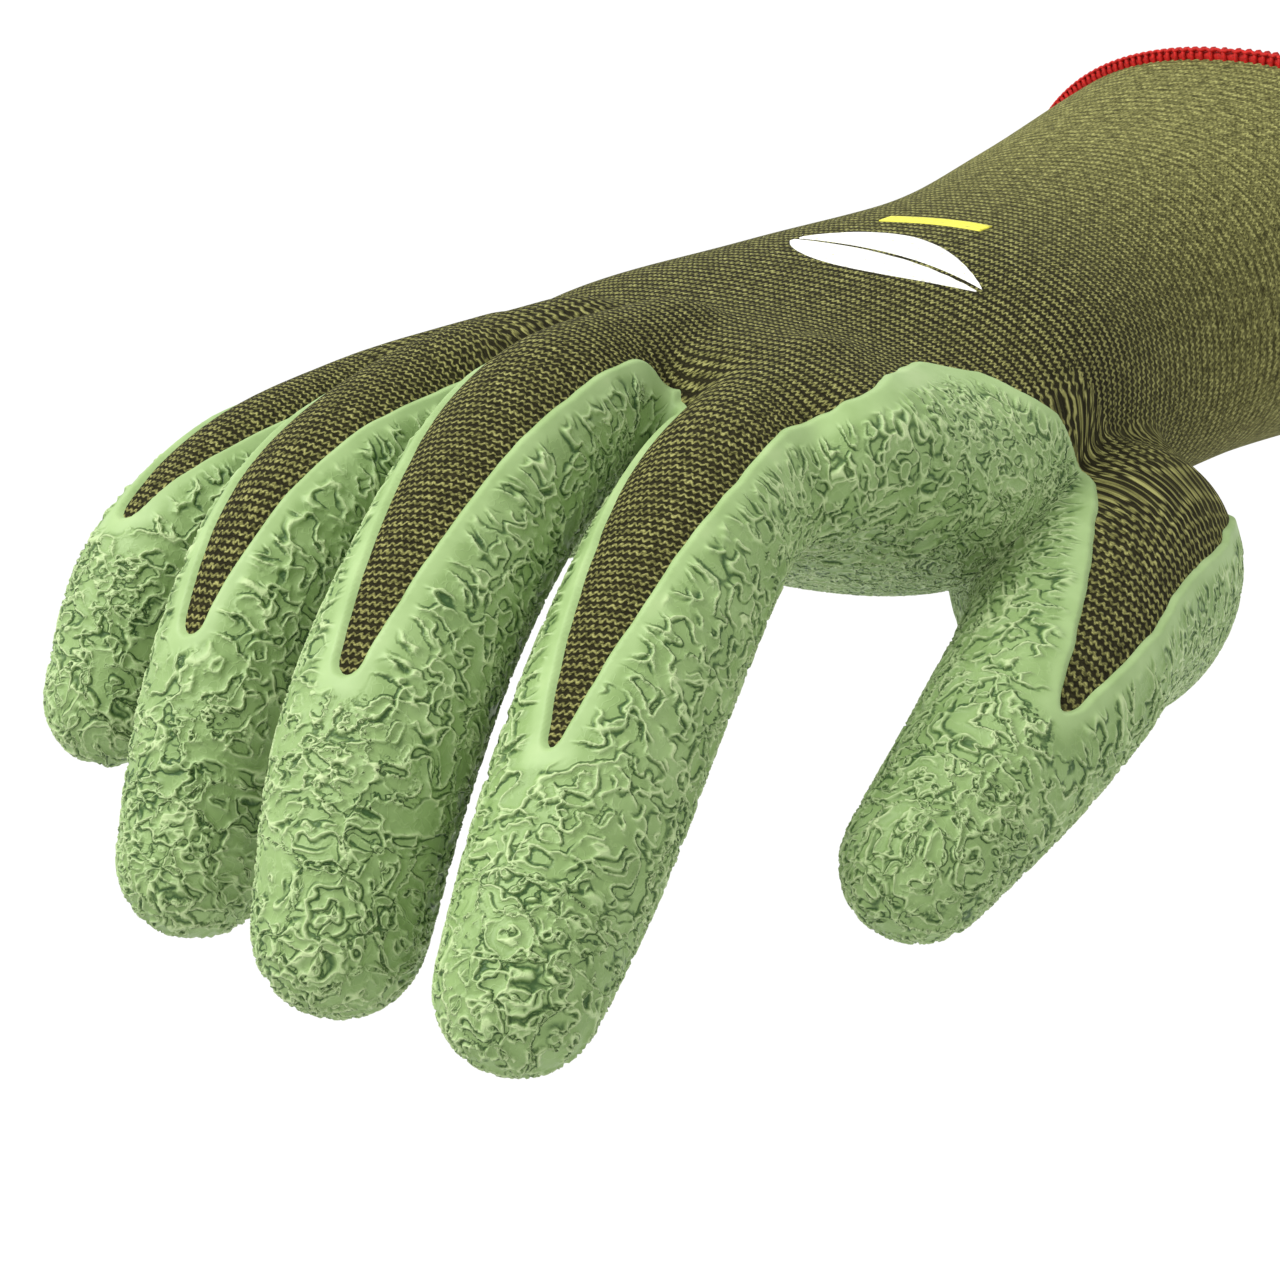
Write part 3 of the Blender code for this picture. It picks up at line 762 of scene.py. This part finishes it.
def lattice_noise(places, size, seed):
    """Gradient noise: random slopes on a lattice of that spacing, blended with 6t^5 - 15t^4 + 10t^3."""
    draw = np.random.RandomState(seed)
    order = draw.permutation(256)
    slopes = unit(draw.normal(size=(256, 3)))
    cell = np.floor(places / size).astype(int)
    part = places / size - cell
    fade = part ** 3 * (part * (part * 6 - 15) + 10)
    total = np.zeros(len(places))
    for corner in np.ndindex(2, 2, 2):
        at = cell + corner
        pick = order[(order[(order[at[:, 0] & 255] + at[:, 1]) & 255] + at[:, 2]) & 255]
        share = np.prod(np.where(corner, fade, 1 - fade), axis=1)
        total += share * (slopes[pick] * (part - corner)).sum(1)
    return total


def bare_depth(points, measured):
    """How far inside the bare knit each point is, in millimetres: above the coat's edge along both sides and
    behind its front, or inside a digit's tongue, or behind the heel; less than nothing under the coat."""
    x, y, z = points.T
    thumb_edge = np.interp(y, THUMB_SIDE_EDGE[:, 0], THUMB_SIDE_EDGE[:, 1])
    side_share = ramp(x, *SIDE_CHANGE)
    edge = LITTLE_SIDE_EDGE * (1 - side_share) + thumb_edge * side_share
    bare = smooth_lower(z - edge, y - COAT_FRONT, WEB_BLEND)
    for name, d in digits.items():
        s, across, rise, off = measured[name]
        angle = np.arctan2(across, rise)
        radius = np.interp(s, d.arc, d.radius)
        if name == "thumb":
            low = np.interp(s, THUMB_TONGUE[:, 0], np.radians(THUMB_TONGUE[:, 1]))
            high = np.interp(s, THUMB_TONGUE[:, 0], np.radians(THUMB_TONGUE[:, 2]))
            flanks = smooth_lower((angle - low) * radius, (high - angle) * radius, FLANK_BLEND)
            tongue = smooth_lower(flanks, THUMB_TONGUE_END - s, TIP_BLEND)
            near = (1 - ramp(off, *THUMB_TONGUE_REACH)) * ramp(s, *THUMB_TONGUE_START)
        else:
            length = TONGUE_LENGTHS[name]
            half_width = np.interp(s / length, TONGUE[:, 0], TONGUE[:, 1]) - TONGUE_NARROWING[name]
            from_edge = half_width - np.abs(angle * radius - TONGUE_SHIFT[name])
            tongue = smooth_lower(from_edge, length - s, TIP_BLEND)
            near = (1 - ramp(off, *TONGUE_REACH)) * ramp(s, *TONGUE_START)
        tongue = tongue * near - NO_TONGUE * (1 - near)
        bare = smooth_upper(bare, tongue, EDGE_BLEND if name == "thumb" else WEB_BLEND)
    return smooth_upper(bare, y - COAT_HEEL, EDGE_BLEND)


def slope_of(values, points, edges):
    """How a point value rises over the skin, per millimetre: twice the mean of its slopes along the edges."""
    a, b = edges
    count = len(points)
    way = points[b] - points[a]
    rise = way * ((values[b] - values[a]) / np.maximum((way ** 2).sum(1), 1e-6))[:, None]
    total = np.stack([np.bincount(a, r, count) + np.bincount(b, r, count) for r in rise.T], 1)
    met = np.bincount(a, minlength=count) + np.bincount(b, minlength=count)
    return 2 * total / np.maximum(met, 1)[:, None]


def fold_net(places, size, seed, points, edges):
    """How far each point is from the nearest crest, in millimetres, and how much of that crest is kept. Crests
    are the zero lines of a noise n, and the distance is about n over its slope."""
    n = lattice_noise(places, size, seed)
    slope = np.linalg.norm(slope_of(n, points, edges), axis=1)
    kept = ramp(lattice_noise(places, size * 0.8, seed + 1), *KEPT_CRESTS)
    return n / np.maximum(slope, LEAST_SLOPE / size), kept


def fold_nets(places, sizes, seed, points, edges):
    """Two nets of folds of different sizes, on places that are pushed about so that the crests kink."""
    push = np.stack([lattice_noise(places, KINK_SIZE, seed + 10 + i) for i in range(3)], 1) * KINK
    return (fold_net(places + push, sizes[0], seed + 20, points, edges)
            + fold_net(places - push, sizes[1], seed + 30, points, edges))


def fold_height(off, kept):
    """A crest exp(-(d / w)^2) along the zero line, with a shallow hollow on one side of it."""
    d = off / CREST_WIDTH
    return kept * (np.exp(-d ** 2) - HOLLOW_DEPTH * np.exp(-((d - HOLLOW_PLACE) / HOLLOW_WIDTH) ** 2))


# Latex finish: soft foamed natural rubber, dipped and wrinkled by a solvent while it gels. It is half matt and
# paler along its edge, with painted highlight along the crests and painted shade down in the hollows.
LATEX_PALE = "#bccd97"
LATEX_EDGE = "#98b277"
LATEX_MID = "#819c5f"
LATEX_DEEP = "#355526"
LATEX_STOPS = (0.0, 0.44, 0.66, 1.0)
LATEX_MOTTLE = 6.0
LATEX_ROUGHNESS = 0.5
LATEX_GLOSS = 0.3
# where each line lies off a crest, and half its width; the crest line is painted highlight, the hollow line
# painted shade
CREST_LINE = (0.0, 0.30)
HOLLOW_LINE = (-0.42, 0.27)
WRINKLE_SIZE = 1.3
WRINKLE_WIDTH = 0.05
WRINKLE_RELIEF = 0.15
CRINKLE_RELIEF = 0.22
# the tone between the folds, and what each thing adds to it; crests and wrinkles add painted highlight, hollows
# painted shade
FLAT_TONE = 0.46
CREST_HIGHLIGHT_TONE = 0.40
HOLLOW_SHADE_TONE = -0.46
WRINKLE_HIGHLIGHT_TONE = 0.07
MOTTLE_TONE = 0.45
EDGE_TONE = 0.17


def add_line(tree, value, centre, width):
    """1 where the value is at the centre, down to 0 at that width off it, as t^2 (3 - 2t)."""
    off = add_math(tree, "ABSOLUTE", add_math(tree, "SUBTRACT", value, centre))
    return add_node(tree, "ShaderNodeMapRange", [("Value", off), ("From Min", 0.0), ("From Max", width),
                                                  ("To Min", 1.0), ("To Max", 0.0)],
                    interpolation_type="SMOOTHSTEP").outputs[0]


def latex_material():
    """Colour from the folds' own values: painted highlight along each crest, painted shade in the hollow on one
    side of it, a fine net of small wrinkles between the folds with a little painted highlight, and a slow
    mottle over all."""
    material, tree = start_material("crinkled_dipped_latex")
    place = add_node(tree, "ShaderNodeTexCoord").outputs["Object"]
    loose = add_node(tree, "ShaderNodeAttribute", attribute_name="loose").outputs["Fac"]
    mottle = add_node(tree, "ShaderNodeTexNoise", [("Vector", place), ("Scale", 1 / (LATEX_MOTTLE * MM)),
                                                    ("Detail", 3.0)]).outputs["Fac"]
    small = add_node(tree, "ShaderNodeTexNoise", [("Vector", place), ("Scale", 1 / (WRINKLE_SIZE * MM)),
                                                   ("Detail", 1.0)]).outputs["Fac"]
    crests, hollows = [], []
    for letter in "ab":
        net = add_node(tree, "ShaderNodeAttribute", attribute_name="net_" + letter).outputs["Fac"]
        kept = add_node(tree, "ShaderNodeAttribute", attribute_name="kept_" + letter).outputs["Fac"]
        for line, found in ((CREST_LINE, crests), (HOLLOW_LINE, hollows)):
            found.append(add_math(tree, "MULTIPLY", add_line(tree, net, *line), kept))
    crest = add_math(tree, "MULTIPLY", add_math(tree, "MAXIMUM", *crests), loose)
    hollow = add_math(tree, "MULTIPLY", add_math(tree, "MAXIMUM", *hollows), loose)
    hollow = add_math(tree, "MULTIPLY", hollow, add_math(tree, "SUBTRACT", 1.0, crest))
    wrinkle = add_math(tree, "MULTIPLY", add_line(tree, small, 0.5, WRINKLE_WIDTH), loose)
    # painted light: crests and wrinkles raise the tone as painted highlight, the hollow lowers it as painted
    # shade
    tone = add_math(tree, "MULTIPLY_ADD", crest, CREST_HIGHLIGHT_TONE, FLAT_TONE)
    tone = add_math(tree, "MULTIPLY_ADD", hollow, HOLLOW_SHADE_TONE, tone)
    tone = add_math(tree, "MULTIPLY_ADD", wrinkle, WRINKLE_HIGHLIGHT_TONE, tone)
    tone = add_math(tree, "MULTIPLY_ADD", add_math(tree, "SUBTRACT", mottle, 0.5), MOTTLE_TONE, tone)
    tone = add_math(tree, "MULTIPLY_ADD", add_math(tree, "SUBTRACT", 1.0, loose), EDGE_TONE, tone)
    colour = add_ramp(tree, tone, zip(LATEX_STOPS, (LATEX_DEEP, LATEX_MID, LATEX_EDGE, LATEX_PALE)))
    height = add_math(tree, "MULTIPLY_ADD", wrinkle, WRINKLE_RELIEF, add_math(tree, "SUBTRACT", crest, hollow))
    relief = add_node(tree, "ShaderNodeBump", [("Height", height), ("Strength", RELIEF_STRENGTH),
                                               ("Distance", CRINKLE_RELIEF * MM)])
    end_material(tree, [("Base Color", colour), ("Roughness", LATEX_ROUGHNESS),
                        ("Specular IOR Level", LATEX_GLOSS), ("Normal", relief.outputs["Normal"])])
    return material


latex = latex_material()
skin = plain_object("skin", points, quads.tolist())
skin.data.attributes.new("zone", "INT", "FACE").data.foreach_set("value", zones.astype(np.int32))
fine_mesh = with_modifier(skin, "SUBSURF", levels=1, render_levels=1, subdivision_type="CATMULL_CLARK")
bpy.data.objects.remove(skin)
fine, fine_quads = mesh_points(fine_mesh)
fine_zones = np.empty(len(fine_quads), np.int32)
fine_mesh.attributes["zone"].data.foreach_get("value", fine_zones)
fine_normals = corner_normals(fine, fine_quads)
fine_measured = measured_on(fine)
coat_depth = -bare_depth(fine, fine_measured) + SCALLOP * lattice_noise(fine, SCALLOP_SIZE, SEED + 3)
fine_edges = quad_edges(fine_quads)
inward = unit(slope_of(coat_depth, fine, fine_edges))
combing = COMB_STRETCH * np.clip(coat_depth, 0, None) * (1 - ramp(coat_depth, *COMB_FADE))
combed = fine - inward * combing[:, None]
_, fine_along = nearest_digit(fine_measured)
on_digit = fine_along > DIGITS_FROM
wide_nets = fold_nets(combed, WIDE_NETS, SEED, fine, fine_edges)
close_nets = fold_nets(combed, CLOSE_NETS, SEED + 50, fine, fine_edges)
net_a, kept_a, net_b, kept_b = (np.where(on_digit, wide, close) for wide, close in zip(wide_nets, close_nets))
height = np.where(on_digit, CRINKLE_HEIGHT, PALM_SHARE * CRINKLE_HEIGHT)
loose = ramp(coat_depth + MARGIN_WANDER * lattice_noise(fine, MARGIN_SIZE, SEED + 5), *MARGIN)
edge_lift = EDGE_UNDER + (LATEX_DEPTH - EDGE_UNDER) * ramp(coat_depth, *EDGE_RISE)
lift = edge_lift + loose * height * np.maximum(fold_height(net_a, kept_a), fold_height(net_b, kept_b))
coat = fine + fine_normals * lift[:, None]
coat_normals = corner_normals(coat, fine_quads)

coated = coat_depth[fine_quads].max(1) > KEEP_PAST_EDGE
for zone, piece_name, _, coat_nodes in zone_names():
    if piece_name in ("cuff", "wrist"):
        continue
    inside = (fine_zones == zone) & coated
    parts = packed(fine_quads[inside], coat, coat_normals, net_a, net_b, kept_a, kept_b, loose)
    film = quad_object(piece_name + "_coat", parts[1], parts[0], parts[2], [latex], None,
                       dict(zip(("net_a", "net_b", "kept_a", "kept_b", "loose"), parts[3:])))
    settle(film, zone, coat_nodes)


# Hem: the cuff's cut edge, overlocked all round with red polyester thread in slanting stitches.
# A roll of the same thread fills the edge, and a looper thread runs in small waves along the stitches' end.
HEM_RED = "#c01408"
HEM_RED_DARK = "#7c0a04"
HEM_DEPTH = 3.2
HEM_BULGE = 0.75
HEM_SQUARENESS = 0.7
HEM_RIM_GAP = 0.15
HEM_STITCH = 1.15
HEM_LEAN = 0.9
HEM_POINTS = 14
HEM_STATIONS = 720
HEM_THREAD = 0.33
THREAD_SIDES = 6
THREAD_TWIST = 0.35
THREAD_STOPS = (0.3, 0.62)
THREAD_RELIEF = 0.1
SOFT_RELIEF = 0.5
THREAD_ROUGHNESS = 0.7
THREAD_GLOSS = 0.25
LOOPER_THREAD = 0.85 * HEM_THREAD
LOOPER_PLACE = -0.62
LOOPER_SWING = 0.16
LOOPER_POINTS = 8
ANY_WAY = (0.13, 0.97, 0.21)


def tube_along(path, radius, sides, closed):
    """Points and quads of a tube: circles c + r (u cos a + v sin a), with u and v square to the path."""
    along = unit(np.roll(path, -1, 0) - np.roll(path, 1, 0)) if closed else unit(np.gradient(path, axis=0))
    first = unit(np.cross(along, ANY_WAY))
    second = np.cross(along, first)
    a = np.linspace(0, 2 * np.pi, sides, endpoint=False)[None, :, None]
    rings = path[:, None] + radius * (np.cos(a) * first[:, None] + np.sin(a) * second[:, None])
    index = np.arange(len(path) * sides).reshape(len(path), sides)
    nearer, further = (index, np.roll(index, -1, 0)) if closed else (index[:-1], index[1:])
    return rings.reshape(-1, 3), np.stack((nearer, np.roll(nearer, -1, 1), np.roll(further, -1, 1), further),
                                          -1).reshape(-1, 4)


def squared(value, power):
    """A power of the value's size, with its sign kept."""
    return np.sign(value) * np.abs(value) ** power


def cuff_place(turn, depth, out_by):
    """A place on the cuff: a share of a turn round its squared oval at that depth, moved outwards."""
    middle_x, middle_z, wide, high, tilt = hand_section(depth).T
    across = squared(np.cos(2 * np.pi * turn), 2 / SQUARENESS)
    rise = squared(np.sin(2 * np.pi * turn), 2 / SQUARENESS)
    out = unit(np.stack((squared(across, SQUARENESS - 1) / wide, squared(rise, SQUARENESS - 1) / high), -1))
    u, v = wide * across + out[:, 0] * out_by, high * rise + out[:, 1] * out_by
    t = np.radians(tilt)
    x, z = u * np.cos(t) - v * np.sin(t), u * np.sin(t) + v * np.cos(t)
    return np.stack((middle_x + x, -depth, middle_z + z), -1)


def hem_place(turn, wrap, lift):
    """A place on the hem: a share of a turn round the cuff, and an angle round the folded edge, from low on the
    outside over the rim to low on the inside; a squared oval as deep as the hem and as thick as the knit."""
    thick = LINER_THICKNESS / 2 + HEM_BULGE + lift
    deep = HEM_DEPTH / 2 - HEM_RIM_GAP + lift
    out_by = -LINER_THICKNESS / 2 + thick * squared(np.cos(wrap), HEM_SQUARENESS)
    place = cuff_place(turn, np.zeros(len(turn)), out_by)
    place[:, 1] = -HEM_DEPTH / 2 + deep * squared(np.sin(wrap), HEM_SQUARENESS)
    return place


def thread_material(name, pale, dark, twist):
    """Spun thread: blotchy along its fibres, a little darker between them as painted shade, and half matt."""
    material, tree = start_material(name)
    place = add_node(tree, "ShaderNodeTexCoord").outputs["Object"]
    fibre = add_node(tree, "ShaderNodeTexNoise", [("Vector", place), ("Scale", 1 / (twist * MM)),
                                                   ("Detail", 3.0), ("Roughness", 0.7)]).outputs["Fac"]
    # the same noise is the relief, so the ramp's dark end sits low between the fibres: painted shade as well as
    # blotch
    colour = add_ramp(tree, fibre, zip(THREAD_STOPS, (dark, pale)))
    relief = add_node(tree, "ShaderNodeBump", [("Height", fibre), ("Strength", SOFT_RELIEF),
                                               ("Distance", THREAD_RELIEF * MM)])
    end_material(tree, [("Base Color", colour), ("Roughness", THREAD_ROUGHNESS),
                        ("Specular IOR Level", THREAD_GLOSS), ("Normal", relief.outputs["Normal"])])
    return material


red_thread = thread_material("red_overlock_thread", HEM_RED, HEM_RED_DARK, THREAD_TWIST)
turns = np.arange(HEM_STATIONS) / HEM_STATIONS
wraps = np.linspace(0, 2 * np.pi, HEM_POINTS, endpoint=False)
grid_turn, grid_wrap = (g.ravel() for g in np.meshgrid(turns, wraps, indexing="ij"))
roll_points = hem_place(grid_turn, grid_wrap, -HEM_THREAD * 0.7)
index = np.arange(len(roll_points)).reshape(HEM_STATIONS, HEM_POINTS)
ahead = np.roll(index, -1, 0)
roll_quads = np.stack((index, ahead, np.roll(ahead, -1, 1), np.roll(index, -1, 1)), -1).reshape(-1, 4)
edge_length = np.linalg.norm(np.diff(hem_place(turns, np.zeros(HEM_STATIONS), 0.0), axis=0), axis=1).sum()
stitches = int(edge_length / HEM_STITCH)
t = np.arange(stitches * HEM_POINTS) / (stitches * HEM_POINTS)
wrap_angle = 2 * np.pi * stitches * t
wrap_path = hem_place((t + HEM_LEAN / stitches * np.sin(wrap_angle) / (2 * np.pi)) % 1, wrap_angle, 0.0)
looper_turn = np.arange(stitches * LOOPER_POINTS) / (stitches * LOOPER_POINTS)
looper_wave = LOOPER_PLACE + LOOPER_SWING * np.sin(2 * np.pi * stitches * looper_turn)
looper_path = hem_place(looper_turn, looper_wave, HEM_THREAD / 2)
hem_parts = [(roll_points, roll_quads), tube_along(wrap_path, HEM_THREAD, THREAD_SIDES, True),
             tube_along(looper_path, LOOPER_THREAD, THREAD_SIDES, True)]
hem_starts = np.cumsum([0] + [len(p) for p, _ in hem_parts])
hem = quad_object("cuff_hem_overlock", np.vstack([p for p, _ in hem_parts]),
                  np.vstack([q + start for (_, q), start in zip(hem_parts, hem_starts)]), None, [red_thread])
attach(hem, "cuff")
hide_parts("cuff_hem")


# Cuff elastic: one bare natural rubber thread wound round four times, which draws the cuff in round the wrist.
# It is laid in behind the loops as the cuff is knitted, and shows only inside the cuff, as thin cream rings.
ELASTIC_CREAM = "#cfc4a4"
ELASTIC_SHADE_AND_BLOTCH = "#a99e80"
ELASTIC_THREAD = 0.4
ELASTIC_FROM = 5.5
ELASTIC_PITCH = 5.0
ELASTIC_TURNS = 4
ELASTIC_STATIONS = 200
ELASTIC_INSIDE = 1.2
ELASTIC_END = 0.01
ELASTIC_BLOTCH = 0.8
elastic_rubber = thread_material("natural_rubber_thread", ELASTIC_CREAM, ELASTIC_SHADE_AND_BLOTCH, ELASTIC_BLOTCH)
winding = np.linspace(0, ELASTIC_TURNS, ELASTIC_TURNS * ELASTIC_STATIONS)
winding_path = cuff_place(winding, ELASTIC_FROM + ELASTIC_PITCH * winding, -ELASTIC_INSIDE)
thread_radius = np.full((len(winding), 1, 1), ELASTIC_THREAD)
thread_radius[[0, -1]] = ELASTIC_END
thread_points, thread_quads = tube_along(winding_path, thread_radius, THREAD_SIDES, False)
elastic = quad_object("cuff_elastic_thread", thread_points, thread_quads, None, [elastic_rubber])
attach(elastic, "cuff")
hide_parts("cuff_elastic")


# Prints: a leaf in white and a short yellow bar, pressed into the knit of the back with a rubbery ink.
# The ink is a thin film that follows the loops, showing a little knit through worn spots, with painted shade in
# its troughs.
PRINT_WHITE = "#f0f0ea"
PRINT_WORN_AND_SHADED = "#b9b79f"
PRINT_YELLOW = "#e3dd3a"
PRINT_YELLOW_WORN_AND_SHADED = "#a9a338"
PRINT_STOPS = (0.34, 0.5)
PRINT_ROUGHNESS = 0.55
PRINT_RELIEF = 0.2
WEAR_SCALE = 1.3
COURSE_SHADE = 0.25
PRINT_LIFT = 0.16
PRINT_SKIRT = 0.3
PRINT_STEP = 0.35
LEAF_MIDDLE = (8.0, -87.5)
LEAF_LENGTH = 36.0
LEAF_WIDTH = 12.5
LEAF_LEAN = -8.0
LEAF_ENDS = (0.02, 0.98)
LEAF_COLUMNS = 18
LEAF_SKEW = 0.8
LEAF_FULLNESS = 0.85
LEAST_WIDTH = 0.05
VEIN = 0.45
BAR_MIDDLE = (5.0, -73.5)
BAR_SIZE = (17.0, 2.6)
# the part of the back that the height under a print is taken from, and how closely
BACK_FROM = 2
BACK_REACH = (28, 18)
BACK_SPREAD = 0.6
WORKED_AT_ONCE = 2000


def print_material(name, fresh, worn_and_shaded):
    """Rubbery ink over knit: the knit's courses in low relief, worn to the yarn's tone on some loops, and
    darker in the troughs between the courses as painted shade.
    """
    material, tree = start_material(name)
    uv = add_node(tree, "ShaderNodeUVMap", uv_map="UVMap").outputs["UV"]
    split = add_node(tree, "ShaderNodeSeparateXYZ", [("Vector", uv)])
    row = add_math(tree, "MULTIPLY", split.outputs["Y"], 2 * math.pi / HAND_COURSE)
    loops = add_math(tree, "MULTIPLY_ADD", add_math(tree, "COSINE", row), 0.5, 0.5)
    wear = add_node(tree, "ShaderNodeTexNoise", [("Vector", uv), ("Scale", WEAR_SCALE),
                                                  ("Detail", 3.0)]).outputs["Fac"]
    # painted shade: the low troughs between the courses move the ink towards its worn colour
    wear_and_course_shade = add_math(tree, "MULTIPLY_ADD", loops, COURSE_SHADE, wear)
    colour = add_ramp(tree, wear_and_course_shade, zip(PRINT_STOPS, (worn_and_shaded, fresh)))
    relief = add_node(tree, "ShaderNodeBump", [("Height", loops), ("Strength", SOFT_RELIEF),
                                               ("Distance", PRINT_RELIEF * MM)])
    end_material(tree, [("Base Color", colour), ("Roughness", PRINT_ROUGHNESS),
                        ("Normal", relief.outputs["Normal"])])
    return material


hand_points = points[np.unique(quads[(zones == 2) | (zones == 3)])]
back_points = hand_points[hand_points[:, 2] > BACK_FROM]


def on_back(x, y):
    """The back's height over each place, from the skin's points near it, by exp(-distance^2 / spread)."""
    middle = np.array((x.mean(), y.mean()))
    near = back_points[(np.abs(back_points[:, :2] - middle) < BACK_REACH).all(1)]
    total, height = np.zeros(len(x)), np.zeros(len(x))
    for part in np.array_split(np.arange(len(x)), max(1, len(x) // WORKED_AT_ONCE)):
        away = (x[part, None] - near[:, 0]) ** 2 + (y[part, None] - near[:, 1]) ** 2
        share = np.exp(-away / BACK_SPREAD)
        total[part], height[part] = share.sum(1), share @ near[:, 2]
    return height / np.maximum(total, 1e-9)


def printed(name, x, y, material):
    """A film on the back from a grid of places, with a short skirt down into the knit all round."""
    rows, columns = x.shape
    z = on_back(x.ravel(), y.ravel()).reshape(x.shape) + PRINT_LIFT
    place = np.stack((x, y, z), -1)
    ring = np.concatenate((place[0], place[1:, -1], place[-1, -2::-1], place[-2:0:-1, 0]))
    index = np.arange(rows * columns).reshape(rows, columns)
    around = np.concatenate((index[0], index[1:, -1], index[-1, -2::-1], index[-2:0:-1, 0]))
    below = np.arange(len(around)) + rows * columns
    face = np.stack((index[:-1, :-1], index[:-1, 1:], index[1:, 1:], index[1:, :-1]), -1).reshape(-1, 4)
    skirt = np.stack((around, below, np.roll(below, -1), np.roll(around, -1)), 1)
    all_points = np.vstack((place.reshape(-1, 3), ring - (0, 0, PRINT_SKIRT)))
    all_quads = np.vstack((face, skirt))
    corners = all_points[all_quads]
    return quad_object(name, all_points, all_quads, None, [material],
                       np.stack((corners[:, :, 0], -corners[:, :, 1]), -1))


def joined(name, films):
    """One object from several."""
    with bpy.context.temp_override(active_object=films[0], selected_editable_objects=films):
        bpy.ops.object.join()
    films[0].name = name
    return films[0]


white_ink = print_material("white_plastisol_print", PRINT_WHITE, PRINT_WORN_AND_SHADED)
yellow_ink = print_material("yellow_plastisol_print", PRINT_YELLOW, PRINT_YELLOW_WORN_AND_SHADED)
leaf_rows = int(LEAF_LENGTH / PRINT_STEP)
down, over = np.meshgrid(np.linspace(*LEAF_ENDS, leaf_rows), np.linspace(0, 1, LEAF_COLUMNS), indexing="ij")
lean = math.radians(LEAF_LEAN)
# the leaf's outline is half its width times a power of sin(pi t^skew), and a vein splits it down the middle
outline = LEAF_WIDTH / 2 * np.sin(np.pi * down ** LEAF_SKEW) ** LEAF_FULLNESS
length = LEAF_LENGTH * (down - 0.5)
halves = []
for side in (-1, 1):
    off = side * (VEIN + over * np.maximum(outline - VEIN, LEAST_WIDTH))
    x = LEAF_MIDDLE[0] + length * math.cos(lean) - off * math.sin(lean)
    y = LEAF_MIDDLE[1] + length * math.sin(lean) + off * math.cos(lean)
    x, y = (x, y) if side < 0 else (x[:, ::-1], y[:, ::-1])
    halves.append(printed("leaf_half", x, y, white_ink))
leaf = joined("back_leaf_print", halves)
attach(leaf, "hand")
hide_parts("back_emblem")
bar_x, bar_y = np.meshgrid(np.linspace(-0.5, 0.5, int(BAR_SIZE[0] / PRINT_STEP)) * BAR_SIZE[0] + BAR_MIDDLE[0],
                           np.linspace(-0.5, 0.5, int(BAR_SIZE[1] / PRINT_STEP)) * BAR_SIZE[1] + BAR_MIDDLE[1],
                           indexing="ij")
bar = printed("size_bar_print", bar_x, bar_y, yellow_ink)
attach(bar, "hand")
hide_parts("size_mark")
